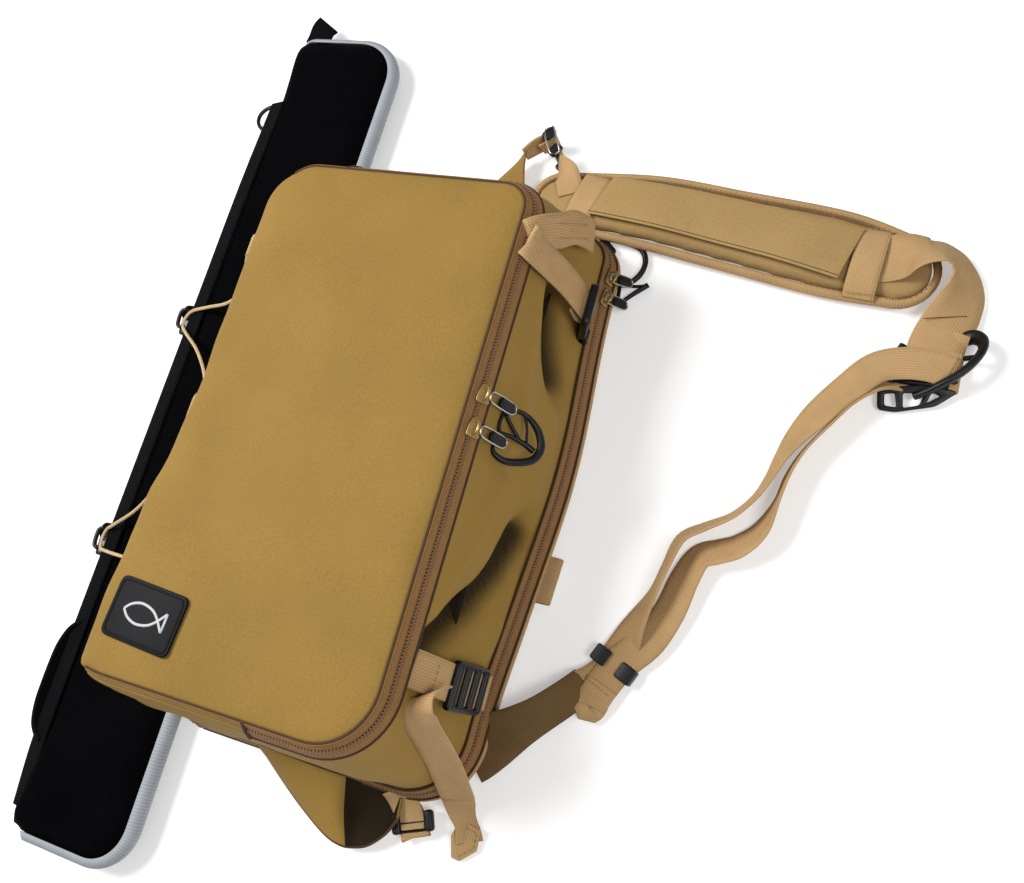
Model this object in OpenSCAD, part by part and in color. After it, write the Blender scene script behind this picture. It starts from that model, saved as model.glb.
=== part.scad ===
// Sling tackle bag lying on its back, with a rod case laced to its left side.
// +Z up out of the front panel, +Y toward the top of the bag, +X toward the strap side.

/* [Bag body] */
// half width of the bag at its back edge
back_half_w = 120; // [110:1:130]
// half height of the bag at its back edge
back_half_h = 220; // [205:1:235]
// left edge of the front panel
front_left = -114; // [-118:1:-108]
// right edge of the front panel
front_right = 100; // [92:1:108]
// bottom edge of the front panel
front_bottom = -200; // [-208:1:-190]
// top edge of the front panel
front_top = 198; // [190:1:206]
// depth of the bag from back panel to front panel
bag_depth = 156; // [148:1:164]
// height of the divider between the two compartments
divider_z = 78; // [60:1:95]
// wall thickness of the fabric gusset
wall = 2.5; // [1.5:0.1:3]

/* [Zips] */
// height of the main zip above the floor
main_zip_z = 25.7; // [25:0.1:27]
// height of the front zip above the floor
front_zip_z = 140.7; // [139:0.1:142]
// distance of the upper front slider from the bag centre
front_slider_y = 44; // [0:1:90]
// gap between the centres of the two front sliders
slider_gap = 24; // [20:1:34]
// length of the upper front zip pull
upper_pull_length = 34; // [24:0.2:38]
// length of the lower front zip pull
lower_pull_length = 32.4; // [24:0.2:38]

/* [Shoulder strap] */
// thickness of the padded shoulder strap
pad_t = 16; // [12:1:20]
// width of the wide strap webbing
wide_web = 38; // [34:1:40]
// width of the narrow strap webbing
narrow_web = 25; // [20:1:26]
// thickness of the webbing
web_t = 1.6; // [1.2:0.1:2]

/* [Rod case] */
// left (spine) edge of the rod case
case_left = -243; // [-250:1:-238]
// right edge of the rod case
case_right = -127; // [-130:1:-124]
// bottom end of the rod case
case_bottom = -353; // [-365:1:-340]
// top end of the rod case
case_top = 409; // [395:1:420]
// thickness of the rod case
case_t = 34; // [28:1:36]
// diameter of the lacing cord
cord_d = 3; // [2.4:0.1:4]

/* [Hidden] */
$fn = 48;
e = 0.01;
tan_c = [0.65, 0.52, 0.31];
web_c = [0.63, 0.49, 0.33];
zip_c = [0.69, 0.51, 0.31];
dark_c = [0.22, 0.15, 0.10];
black_c = [0.05, 0.05, 0.055];
grey_c = [0.52, 0.54, 0.56];
brass_c = [0.72, 0.60, 0.36];
steel_c = [0.75, 0.76, 0.78];
cord_c = [0.80, 0.70, 0.54];
lid_axis_x = front_left - 0.5;
case_mid_z = case_t / 2 + 0.5;
case_in = 4;

// path stations are [x, y, z, roll]
pad_line = [[62, 262, 10, 0], [140, 260, 10, 0], [210, 251, 10, 0], [290, 240, 10, 0],
  [338, 232, 10, 0]];
top_wing_web_path = [[20, 309.5, 12, 62], [28, 313, 14, 78], [37.6, 316, 15, 90]];
pad_link_path = [[52.5, 297.6, 15, 90], [54.6, 294.2, 15.2, 80], [60.4, 289.2, 22.4, 32],
  [65.4, 283, 23.4, 8], [70, 274, 22.2, 0]];
pad_end_path = [[334, 238, 22.3, 0], [341, 240, 23.2, -6], [350, 242, 27, -25],
  [359, 243.5, 28.5, -38], [368, 244.5, 26, -45], [377, 241, 22, -52], [384, 232, 18.5, -54],
  [386, 220, 16, -45], [383, 207, 13.5, -32], [378, 194, 10.2, -16], [374, 184, 8, -3],
  [373, 175.5, 7.5, 0]];
strand_lower_path = [[399.2, 158, 1.2, 0], [380, 158, 1.2, 0], [356, 158, 1.2, 0],
  [338, 155, 1.3, 0], [324, 150, 1.4, 0], [312, 143, 4.6, -18], [304, 135, 8.8, -38],
  [294, 122, 12.4, -68],
  [284, 102, 13, -76], [278, 72, 13, -76], [269, 44, 13, -76], [250, 24, 13, -76],
  [232, 8, 13, -76], [222, -12, 13, -74], [216, -36, 12.6, -66], [210, -62, 8.8, -38],
  [206, -76, 5, -12], [202.6, -86, 4, 0], [198, -97, 4, 0], [194, -106, 4, 0],
  [187, -114, 4, 0], [181, -119, 4.4, 0]];
strand_upper_path = [[399.2, 158, 13.8, 0], [384, 158, 13.8, 0], [362, 157, 14.2, 0],
  [347, 150, 14.4, 0], [336, 136, 13.8, -2], [328, 116, 8.6, -8], [321, 92, 5, -10],
  [314, 66, 5, -10], [304, 40, 5, -10], [290, 18, 5, -10], [274, 0, 5, -10],
  [260, -18, 5, -10], [249, -42, 5.8, -8], [233, -64, 6.8, -4], [218, -80, 7.2, 0],
  [209, -89, 7, 0], [204, -97, 6.9, 0], [200, -106, 6.9, 0], [195.4, -116, 7, 0],
  [191, -126, 7, 0]];
upper_strap_path = [[118.2, 190, 50, 0], [113, 187, 80, 0], [107.5, 180, 112, 0],
  [106.5, 172, 134, 0], [112, 165, 142, 0], [119, 160, 132, 0], [121, 155, 112, 0],
  [121.8, 148, 92, 0], [124.8, 146.5, 76.6, 0]];
lower_strap_path = [[103.5, -138, 126, 0], [106.5, -139, 114, 0], [109, -140, 105, 0],
  [113, -141, 88, 0], [117, -141, 66, 0], [120, -141, 48, 0], [122.5, -141, 37, 0]];
lower_tail_path = [[121.5, -149, 112, 0], [119.5, -157, 126, 0], [119.5, -169, 120, 0],
  [119, -187, 86, 0], [121, -205, 50, 0], [124, -221, 20, 0], [128, -235, 6.5, 0],
  [131, -249, 5, 0]];
glide_a = [41, 318];
glide_b = [50.5, 302.5];
bottom_web_path = [[71, -226.4, 19.6, 0], [75.6, -230.6, 13.2, 0], [82, -236, 10.4, 0],
  [88, -246, 9.4, 0]];
handle_path = [[-240, -186, 17, 0], [-256, -190, 17, 0], [-261, -204, 17, 0],
  [-261, -232, 17, 0], [-261, -254, 17, 0], [-256, -268, 17, 0], [-240, -272, 17, 0]];
bungee_path = [[-131, 150, 124], [-131, 143, 125], [-131, 134, 125], [-131, 124.5, 125],
  [-138, 117, 112], [-175, 114, 74], [-215, 111, 48], [-240, 110, 37], [-251, 108, 29],
  [-256, 102, 24], [-254, 94, 27], [-242, 88, 37], [-215, 72, 48], [-172, 38, 76],
  [-138, 17, 112], [-131, 9, 125], [-131, -1, 125], [-131, -11, 125], [-138, -19, 112],
  [-172, -42, 76], [-215, -80, 48], [-242, -94, 37], [-252, -99, 28], [-256, -107, 24],
  [-252, -115, 28], [-240, -117, 37], [-215, -117, 48], [-175, -117, 74],
  [-138, -117, 112], [-131, -124.5, 125], [-131, -134, 125], [-131, -143, 125],
  [-131, -150, 124]];

// ---------- helpers ----------
function unit(v) = v / norm(v);
function xyz(p) = [p[0], p[1], p[2]];
function cr(a, b, c, d, t) = 0.5 * ((2 * b) + (c - a) * t + (2 * a - 5 * b + 4 * c - d) * t * t
  + (3 * b - a - 3 * c + d) * t * t * t);
function spline(s, i, t) = cr(s[max(i - 1, 0)], s[i], s[i + 1], s[min(i + 2, len(s) - 1)], t);
function smooth(s, k) = concat([for (i = [0:len(s) - 2]) for (j = [0:k - 1])
  spline(s, i, j / k)], [s[len(s) - 1]]);
function heading(p, i) = unit(xyz(p[min(i + 1, len(p) - 1)]) - xyz(p[max(i - 1, 0)]));
function side_of(d, up, wide) = wide == undef ? unit(cross(up, d))
  : unit(wide - (wide * d) * d);

// flat band along a path; wide is a fixed width direction, otherwise the band lies flat to up
module ribbon(stations, w, t, k = 3, up = [0, 0, 1], wide = undef) {
  p = smooth(stations, k);
  m = len(p);
  corners = [[-1, -1], [1, -1], [1, 1], [-1, 1]];
  pts = [for (i = [0:m - 1])
    let (d = heading(p, i), s0 = side_of(d, up, wide), u0 = cross(d, s0), r = p[i][3],
      s = s0 * cos(r) + u0 * sin(r), u = u0 * cos(r) - s0 * sin(r))
    for (c = corners) xyz(p[i]) + s * c[0] * w / 2 + u * c[1] * t / 2];
  sides = [for (i = [0:m - 2]) for (j = [0:3])
    let (a = i * 4 + j, b = i * 4 + (j + 1) % 4)
    each [[a, a + 4, b + 4], [a, b + 4, b]]];
  last = (m - 1) * 4;
  caps = [[0, 1, 2], [0, 2, 3], [last + 2, last + 1, last], [last + 3, last + 2, last]];
  polyhedron(points = pts, faces = concat(sides, caps));
}

// round cord along a path
module round_cord(stations, d, n = 8, k = 2, ref = [0.15, 0.35, 1]) {
  p = smooth(stations, k);
  m = len(p);
  pts = [for (i = [0:m - 1])
    let (h = heading(p, i), s = unit(cross(ref, h)), u = cross(h, s))
    for (j = [0:n - 1]) xyz(p[i]) + (s * cos(360 * j / n) + u * sin(360 * j / n)) * d / 2];
  sides = [for (i = [0:m - 2]) for (j = [0:n - 1])
    let (a = i * n + j, b = i * n + (j + 1) % n)
    each [[a, a + n, b + n], [a, b + n, b]]];
  last = (m - 1) * n;
  caps = concat([for (j = [1:n - 2]) [0, j, j + 1]],
    [for (j = [1:n - 2]) [last + j + 1, last + j, last]]);
  polyhedron(points = pts, faces = concat(sides, caps));
}

// rectangle with its own radius at each corner, corners in order bl, br, tr, tl
module outline(x0, x1, y0, y1, r) {
  polygon([[x0 + r[0], y0], [x1 - r[1], y0], [x1, y0 + r[1]], [x1, y1 - r[2]],
    [x1 - r[2], y1], [x0 + r[3], y1], [x0, y1 - r[3]], [x0, y0 + r[0]]]);
  translate([x0 + r[0], y0 + r[0]]) circle(r = r[0]);
  translate([x1 - r[1], y0 + r[1]]) circle(r = r[1]);
  translate([x1 - r[2], y1 - r[2]]) circle(r = r[2]);
  translate([x0 + r[3], y1 - r[3]]) circle(r = r[3]);
}
module back_outline(d) {
  outline(-back_half_w + d, back_half_w - d, -back_half_h + d, back_half_h - d,
    [16 - d, 46 - d, 20 - d, 16 - d]);
}
module front_outline(d) {
  outline(front_left + d, front_right - d, front_bottom + d, front_top - d,
    [10 - d, 45 - d, 22 - d, 12 - d]);
}
module back_ring(z0, z1, out, inn) {
  translate([0, 0, z0]) linear_extrude(z1 - z0)
    difference() {
      back_outline(-out);
      back_outline(inn);
    }
}
module front_ring(z0, z1, out, inn) {
  translate([0, 0, z0]) linear_extrude(z1 - z0)
    difference() {
      front_outline(-out);
      front_outline(inn);
    }
}
module rounded_box(size, r) {
  translate([-size[0] / 2, -size[1] / 2, 0]) linear_extrude(size[2])
    outline(0, size[0], 0, size[1], [r, r, r, r]);
}
module round_bar(a, b, d) {
  v = b - a;
  translate(a) rotate([0, acos(v[2] / norm(v)), atan2(v[1], v[0])])
    cylinder(d = d, h = norm(v), $fn = 20);
}

// ---------- back section ----------
module back_panel() color(tan_c) linear_extrude(12) back_outline(3.2);
module back_board() color(black_c) translate([0, 0, 12.3]) linear_extrude(2) back_outline(5);
module rear_gusset() color(tan_c) back_ring(1, 19, 0, wall);
module rear_binding() color(web_c) back_ring(3, 8, 5, -0.2);
module main_zip_rear_half() color(zip_c) {
  back_ring(19.2, 23, -0.4, 2);
  back_ring(22.9, main_zip_z - 0.3, 1, 1.6);
}
module side_loop() color(web_c) translate([back_half_w + 5.4, -50, 4]) difference() {
  rotate([90, 0, 0]) translate([0, 0, -19]) linear_extrude(38)
    outline(0, 16, -3, 5, [3.9, 3.9, 3.9, 3.9]);
  translate([1.5, -20, -1.4]) cube([13, 40, 4.8]);
}
module top_wing() color(tan_c) translate([0, 0, 4.5]) linear_extrude(5)
  polygon([[-40, back_half_h + 5.4], [46, back_half_h + 5.4], [22, 302], [12, 302]]);
module eye(pos, h, r_in) translate([pos[0], pos[1], 15 - h / 2]) difference() {
  cylinder(r = r_in + web_t, h = h);
  translate([0, 0, -1]) cylinder(r = r_in, h = h + 2);
}
module top_wing_webbing() color(web_c) {
  ribbon(top_wing_web_path, 19, web_t);
  eye(glide_a, 19, 2.9);
}
module top_triglide() color(black_c) {
  for (p = [glide_a, glide_b]) translate([p[0], p[1], 1]) cylinder(r = 1.6, h = 28, $fn = 24);
  for (z = [1, 26.4]) hull() for (p = [glide_a, glide_b])
    translate([p[0], p[1], z]) cylinder(r = 3.4, h = 2.6, $fn = 24);
}
module pad_link_webbing() color(web_c) {
  ribbon(pad_link_path, narrow_web - 3, web_t);
  eye(glide_b, narrow_web - 3, 2.9);
}
function pad_half(i) = [24, 31, 33, 35, 29][i];
module pad_slab(z0, h, grow) {
  translate([0, 0, z0]) linear_extrude(h) union() {
    for (i = [0:len(pad_line) - 2]) hull() {
      translate([pad_line[i][0], pad_line[i][1]]) circle(r = pad_half(i) + grow, $fn = 32);
      translate([pad_line[i + 1][0], pad_line[i + 1][1]])
        circle(r = pad_half(i + 1) + grow, $fn = 32);
    }
  }
}
// room pressed into the pad's rounded end by the link webbing
module link_room(z0) translate([44, 276, z0]) cube([20, 18, 20]);
module shoulder_pad() color(tan_c) difference() {
  pad_slab(4, pad_t, -4);
  link_room(11);
}
module pad_binding() color(web_c) difference() {
  pad_slab(8, 7, 0);
  pad_slab(7, 9, -3.8);
  link_room(6);
}
module pad_strip_left() color(web_c) translate([0, 0, 4 + pad_t + 0.2])
  linear_extrude(web_t) polygon([[83, 286], [106, 287], [94, 235], [71, 239]]);
module pad_strip_right() color(web_c) translate([0, 0, 4 + pad_t + 0.2])
  linear_extrude(web_t) polygon([[306, 263], [329, 259], [326, 206], [303, 209]]);
module pad_flap() color(tan_c) translate([0, 0, 4 + pad_t + 2.2]) linear_extrude(3)
  polygon([[108, 282], [309, 262], [298, 216], [96, 246]]);
module pad_end_webbing() color(web_c) {
  ribbon(pad_end_path, wide_web, web_t);
  translate([373, 172.2, 7.5]) rotate([0, 90, 0]) translate([0, 0, -wide_web / 2])
    difference() {
      cylinder(r = 4.2, h = wide_web);
      translate([0, 0, -1]) cylinder(r = 2.6, h = wide_web + 2);
    }
}
module quick_buckle() color(black_c) {
  translate([349, 172.2, 7.5]) rotate([0, 90, 0]) cylinder(r = 2, h = 50);
  translate([346, 134, 3]) cube([6, 42, 9]);
  translate([399, 134, 7.5]) rotate([-90, 0, 0]) cylinder(r = 3.6, h = 54);
  translate([346, 134, 3.9]) cube([53, 7, 7.2]);
  translate([341, 140, 2.6]) difference() {
    rounded_box([16, 20, 4], 4);
    translate([-2.5, 0, -1]) rounded_box([4, 10, 12], 1.6);
  }
}
module adjuster_webbing() color(web_c) {
  ribbon(strand_lower_path, narrow_web, web_t);
  ribbon(strand_upper_path, narrow_web, web_t);
  translate([399, 158.2 + narrow_web / 2, 7.5]) rotate([90, 0, 0])
    linear_extrude(narrow_web + 0.4) difference() {
      circle(r = 7.2);
      circle(r = 5.4);
      translate([-10, -8]) square([8, 16]);
    }
}
module strap_keeper() color(black_c) translate([200.8, -97.4, 1]) rotate([0, 0, -23])
  difference() {
    rounded_box([38.8, 12, 9.6], 2);
    translate([-17.8, -8, 1.1]) cube([35.6, 16, 7.4]);
    translate([-7, -8, 6]) cube([14, 16, 5]);
  }
module corner_wing() color(dark_c) translate([0, 0, 4.5]) linear_extrude(5)
  polygon([[125.6, -152], [150, -143], [171, -127], [177, -134], [160, -152],
    [140, -176], [119, -204], [124.4, -190], [125.8, -172]]);
module bottom_wing() color(tan_c) translate([0, 0, 4.5]) linear_extrude(5)
  polygon([[-52, -back_half_h - 5.4], [62, -back_half_h - 5.4], [66, -250], [50, -267],
    [38, -269]]);
module bottom_wing_webbing() color(web_c)
  ribbon(bottom_web_path, narrow_web - 3, web_t, 3, [0, 0, 1], [0.93, 0.37, 0]);
module bottom_triglide() color(black_c) translate([85, -241, 4.6]) rotate([0, 0, 22.5])
  difference() {
    rounded_box([30, 13, 11.4], 3);
    translate([-13.1, -9, 1.6]) cube([26.2, 18, 8.4]);
  }

// ---------- middle section ----------
module gusset_shell(d, over) {
  hull() {
    translate([0, 0, 33.2 - over]) linear_extrude(0.4) back_outline(d);
    translate([0, 0, 133.6 + over]) linear_extrude(0.4) front_outline(d);
  }
}
module mid_gusset() color(tan_c) {
  difference() {
    gusset_shell(0, 0);
    gusset_shell(wall, 0.05);
  }
  translate([front_left, front_bottom + 12, 133.5]) cube([wall, 374, 6.5]);
}
module divider() color(tan_c) translate([0, 0, divider_z]) linear_extrude(2)
  outline(-112, 104, -203, 202, [12, 42, 20, 14]);
module main_zip_front_half() color(zip_c) {
  back_ring(28.4, 33.1, -0.4, 2);
  back_ring(main_zip_z + 0.3, 28.5, 1, 1.6);
}
module hinge_cut() translate([front_left - 10, -300, 120]) cube([14, 600, 60]);
module front_zip_lower_half() color(zip_c) difference() {
  union() {
    front_ring(134.2, 138.5, -0.4, 2);
    front_ring(138.4, front_zip_z - 0.3, 1, 1.6);
  }
  hinge_cut();
}
module bungee_loops() color(web_c) for (y = [134, -1, -134])
  translate([front_left - 1.6, y, 125]) difference() {
    rotate([90, 0, 0]) translate([0, 0, -7.5]) linear_extrude(15)
      outline(-20, 0.6, -4, 4, [3.9, 1, 1, 3.9]);
    translate([-18.4, -9, -2.4]) cube([12, 18, 4.8]);
  }
module bungee_cord() color(cord_c) round_cord(bungee_path, cord_d);
module upper_strap_webbing() color(web_c) {
  ribbon(upper_strap_path, narrow_web, web_t, 3, [0, 0, 1], [0, 1, 0]);
  translate([125.3, 146.5, 73.5]) rotate([90, 0, 0])
    translate([0, 0, -narrow_web / 2]) difference() {
      cylinder(r = 4.2, h = narrow_web);
      translate([0, 0, -1]) cylinder(r = 2.6, h = narrow_web + 2);
    }
}
module upper_hook_buckle() color(black_c) translate([125.3, 146.5, 73.5]) {
  rotate([90, 0, 0]) translate([0, 0, -16]) cylinder(r = 2, h = 32);
  for (s = [-1, 1]) translate([-2, s * 16 - 1.5, -34]) cube([4, 3, 37]);
  translate([-2, -17.5, -38]) cube([4, 35, 5]);
  translate([-2, -17.5, -20]) cube([4, 35, 4]);
}
module lower_strap_webbing() color(web_c)
  ribbon(lower_strap_path, narrow_web, web_t, 3, [0, 0, 1], [0, 1, 0]);
module lower_strap_tail() color(web_c)
  ribbon(lower_tail_path, narrow_web - 2, web_t, 3, [0, 0, 1], [0.75, 0.55, 0.3]);
module lower_ladder_buckle() color(black_c) translate([114.8, -141, 77])
  rotate([0, -10.5, 0]) difference() {
    translate([-1, -17, -27]) cube([6, 34, 54]);
    translate([-2.6, -14, -29]) cube([4, 28, 58]);
    translate([-3, -13, 8]) cube([12, 26, 7]);
    translate([-3, -13, -15]) cube([12, 26, 7]);
  }

// ---------- front lid ----------
module front_panel() color(tan_c) {
  translate([0, 0, 147.8]) linear_extrude(bag_depth - 147.8) front_outline(0.6);
  translate([front_left + 0.6, front_bottom + 14, 141.2]) cube([wall, 370, 7]);
}
module front_piping() color(zip_c) front_ring(147.6, 151, 2.4, 0.4);
module front_zip_upper_half() color(zip_c) difference() {
  union() {
    front_ring(142.9, 147.5, -0.4, 2);
    front_ring(front_zip_z + 0.3, 143, 1, 1.6);
  }
  hinge_cut();
}
module front_patch() color(black_c) translate([-82, -153, bag_depth + 0.1])
  rotate([0, 0, -4]) rounded_box([58, 42, 1.6], 5);

// ---------- zip hardware ----------
module slider_body() color(brass_c) {
  translate([0, -7, -4.5]) cube([6, 14, 9]);
  translate([5.9, -1.2, -3]) difference() {
    cube([6, 2.4, 6]);
    translate([1.4, -1, 1.2]) cube([3, 5, 3.6]);
  }
}
module pull(l) {
  color(black_c) translate([-1.5, -2.3, -l]) cube([3, 4.6, l - 7]);
  color(steel_c) {
    for (s = [-1, 1]) round_bar([0, s * 3.4, -l + 2], [0, s * 3.4, 0], 1.6);
    round_bar([0, -3.4, 0], [0, 3.4, 0], 1.6);
    round_bar([0, -3.4, -l + 2], [0, 3.4, -l + 2], 1.6);
  }
}
module leaf_clip() color(black_c) {
  difference() {
    linear_extrude(4.5) union() {
      circle(r = 17);
      polygon([[-16, 6], [16, 6], [9, -34], [0, -42], [-9, -34]]);
    }
    translate([0, 0, -1]) linear_extrude(7) union() {
      circle(r = 12.5);
      polygon([[-12, 0], [12, 0], [6, -28], [0, -36], [-6, -28]]);
    }
  }
  translate([-2, -38, 0]) cube([4, 30, 4.5]);
}
module front_slider_upper() translate([front_right + 1.4, front_slider_y, front_zip_z])
  slider_body();
module front_slider_lower() translate([front_right + 1.4, front_slider_y - slider_gap,
  front_zip_z]) slider_body();
module front_pull_upper() translate([front_right + 10.2, front_slider_y, front_zip_z])
  pull(upper_pull_length);
module front_pull_lower() translate([front_right + 10.2, front_slider_y - slider_gap,
  front_zip_z]) pull(lower_pull_length);
module front_zip_clip() translate([front_right + 13.5, front_slider_y - 6, 92])
  rotate([0, 90, 0]) rotate([0, 0, -14]) leaf_clip();
module main_slider_upper() translate([back_half_w + 1.4, 193, main_zip_z]) slider_body();
module main_slider_lower() translate([back_half_w + 1.4, 175, main_zip_z]) slider_body();
module main_pull_upper() translate([back_half_w + 10.2, 193, main_zip_z]) pull(22);
module main_pull_lower() translate([back_half_w + 10.2, 175, main_zip_z]) pull(22);
module main_zip_clip() translate([back_half_w + 34, 203, 0.6]) rotate([0, 0, 96])
  leaf_clip();

// ---------- rod case ----------
module case_outline(d) {
  outline(case_left + d, case_right - d, case_bottom + d, case_top - d,
    [14 - d, 38 - d, 48 - d, 14 - d]);
}
module rod_case_lower() color(black_c) translate([0, 0, 0.5])
  linear_extrude(case_t / 2 - 0.6) case_outline(case_in);
module rod_case_upper() color(black_c) translate([0, 0, case_mid_z + 0.1])
  linear_extrude(case_t / 2 - 0.6) case_outline(case_in);
module rod_case_binding() color(grey_c) translate([0, 0, case_mid_z - 4])
  linear_extrude(8) difference() {
    case_outline(0);
    case_outline(case_in - 0.2);
    translate([case_left - 1, case_bottom + 14]) square([case_in + 1, case_top - case_bottom - 28]);
  }
module rod_case_tab() color(black_c) translate([case_left + 10, case_top + 0.15, case_mid_z - 2])
  cube([24, 15.6, 4]);
module rod_case_handle() color(black_c)
  ribbon(handle_path, 20, 3);
module d_ring_tab() color(black_c) translate([case_left - 10, 308, case_mid_z - 3])
  difference() {
    cube([14, 22, 6]);
    translate([2, -1, 1.5]) cube([5, 24, 3]);
  }
module d_ring() color(steel_c) translate([case_left - 5.5, 319, case_mid_z]) {
  round_bar([0, -14, 0], [0, 14, 0], 2.6);
  rotate([0, 0, 90]) rotate_extrude(angle = 180, $fn = 40) translate([14, 0]) circle(d = 2.6, $fn = 16);
}
module lacing_hook() color(black_c) difference() {
  rounded_box([15, 26, 12], 3);
  translate([-8, -4, 3]) cube([10, 8, 12]);
}
module lacing_hook_upper() translate([case_left - 5, 102, case_mid_z - 8]) lacing_hook();
module lacing_hook_lower() translate([case_left - 5, -107, case_mid_z - 8]) lacing_hook();

back_panel();
back_board();
rear_gusset();
rear_binding();
main_zip_rear_half();
side_loop();
top_wing();
top_wing_webbing();
top_triglide();
pad_link_webbing();
shoulder_pad();
pad_binding();
pad_strip_left();
pad_strip_right();
pad_flap();
pad_end_webbing();
quick_buckle();
adjuster_webbing();
strap_keeper();
corner_wing();
bottom_wing();
bottom_wing_webbing();
bottom_triglide();
mid_gusset();
divider();
main_zip_front_half();
front_zip_lower_half();
bungee_loops();
bungee_cord();
upper_strap_webbing();
upper_hook_buckle();
lower_strap_webbing();
lower_strap_tail();
lower_ladder_buckle();
front_panel();
front_piping();
front_zip_upper_half();
front_patch();
front_slider_upper();
front_slider_lower();
front_pull_upper();
front_pull_lower();
front_zip_clip();
main_slider_upper();
main_slider_lower();
main_pull_upper();
main_pull_lower();
main_zip_clip();
rod_case_lower();
rod_case_upper();
rod_case_binding();
rod_case_tab();
rod_case_handle();
d_ring_tab();
d_ring();
lacing_hook_upper();
lacing_hook_lower();
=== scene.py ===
"""Looks of a sling tackle bag lying on its back, with a rod case laced to its left side.

Shapes are written in millimetres in the frame's axes and made in metres."""

import math

import bmesh
import bpy
from mathutils import Matrix, Vector, noise


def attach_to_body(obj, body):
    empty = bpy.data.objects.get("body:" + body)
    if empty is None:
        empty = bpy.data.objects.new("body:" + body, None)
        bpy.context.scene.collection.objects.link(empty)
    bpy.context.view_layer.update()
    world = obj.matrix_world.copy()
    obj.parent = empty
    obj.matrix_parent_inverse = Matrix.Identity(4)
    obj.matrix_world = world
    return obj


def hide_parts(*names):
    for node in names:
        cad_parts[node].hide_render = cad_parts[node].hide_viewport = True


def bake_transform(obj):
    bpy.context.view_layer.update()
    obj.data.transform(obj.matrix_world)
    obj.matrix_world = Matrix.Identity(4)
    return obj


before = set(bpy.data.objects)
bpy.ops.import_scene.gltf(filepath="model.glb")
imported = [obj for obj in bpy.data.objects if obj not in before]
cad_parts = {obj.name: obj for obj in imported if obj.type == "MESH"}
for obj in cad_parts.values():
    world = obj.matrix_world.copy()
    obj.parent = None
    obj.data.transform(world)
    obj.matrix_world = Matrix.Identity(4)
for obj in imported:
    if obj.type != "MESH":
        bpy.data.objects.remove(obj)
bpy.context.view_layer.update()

MM = 0.001
UP = Vector((0, 0, 1))

# ---------- sizes taken from the CAD ----------
BACK_W, BACK_H = 120.0, 220.0
FRONT_X0, FRONT_X1, FRONT_Y0, FRONT_Y1 = -114.0, 100.0, -200.0, 198.0
MAIN_ZIP_Z = 25.7
FRONT_ZIP_Z = 140.7
WEB = 25.0
WIDE_WEB = 38.0
WEB_T = 1.6
CASE_X0, CASE_X1, CASE_Y0, CASE_Y1 = -243.0, -127.0, -353.0, 409.0
CASE_MID = 17.5

# Points nearer than this are joined, in metres
WELD = 0.00002


# ---------- materials ----------
def tone(colour, factor):
    return tuple(min(1.0, c * factor) for c in colour) + (1.0,)


def material(name, colour, rough, metal=0.0, specular=0.4):
    mat = bpy.data.materials.new(name)
    mat.use_nodes = True
    shader = mat.node_tree.nodes["Principled BSDF"]
    shader.inputs["Base Color"].default_value = tone(colour, 1)
    shader.inputs["Roughness"].default_value = rough
    shader.inputs["Metallic"].default_value = metal
    shader.inputs["Specular IOR Level"].default_value = specular
    mat.diffuse_color = tone(colour, 1)
    return mat


def add_node(mat, kind, **values):
    node = mat.node_tree.nodes.new(kind)
    for key, value in values.items():
        setattr(node, key, value)
    return node


def link(mat, out_socket, in_socket):
    mat.node_tree.links.new(out_socket, in_socket)


def ramp(mat, factor, colour, low, high, start=0.3, end=0.7):
    """Colours the material from low to high times its colour as factor rises."""
    node = add_node(mat, "ShaderNodeValToRGB")
    node.color_ramp.elements[0].position = start
    node.color_ramp.elements[0].color = tone(colour, low)
    node.color_ramp.elements[1].position = end
    node.color_ramp.elements[1].color = tone(colour, high)
    link(mat, factor, node.inputs["Fac"])
    return node.outputs["Color"]


def bump(mat, height, strength, distance):
    node = add_node(mat, "ShaderNodeBump")
    node.inputs["Strength"].default_value = strength
    node.inputs["Distance"].default_value = distance
    link(mat, height, node.inputs["Height"])
    link(mat, node.outputs["Normal"], mat.node_tree.nodes["Principled BSDF"].inputs["Normal"])


def noise_value(mat, scale, detail=2.0):
    where = add_node(mat, "ShaderNodeTexCoord")
    node = add_node(mat, "ShaderNodeTexNoise")
    node.inputs["Scale"].default_value = scale
    node.inputs["Detail"].default_value = detail
    link(mat, where.outputs["Object"], node.inputs["Vector"])
    return node.outputs["Fac"]


def math_node(mat, operation, a, b=None, constant=None):
    node = add_node(mat, "ShaderNodeMath", operation=operation)
    link(mat, a, node.inputs[0])
    if b is not None:
        link(mat, b, node.inputs[1])
    elif constant is not None:
        node.inputs[1].default_value = constant
    return node.outputs[0]


def fabric(name, colour, rough=0.75, low=0.86, high=1.12, grain=900.0, depth=0.00025):
    """Plain nylon: fine weave grain over slow cloudy changes of tone."""
    mat = material(name, colour, rough, specular=min(0.14, 20 * colour[1]))
    fine = noise_value(mat, grain, 3.0)
    broad = noise_value(mat, 14.0)
    both = math_node(mat, "ADD", math_node(mat, "MULTIPLY", fine, constant=0.62),
                     math_node(mat, "MULTIPLY", broad, constant=0.38))
    shade = ramp(mat, both, colour, low, high, 0.36, 0.64)
    link(mat, shade, mat.node_tree.nodes["Principled BSDF"].inputs["Base Color"])
    bump(mat, fine, 0.35, depth)
    return mat


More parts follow.
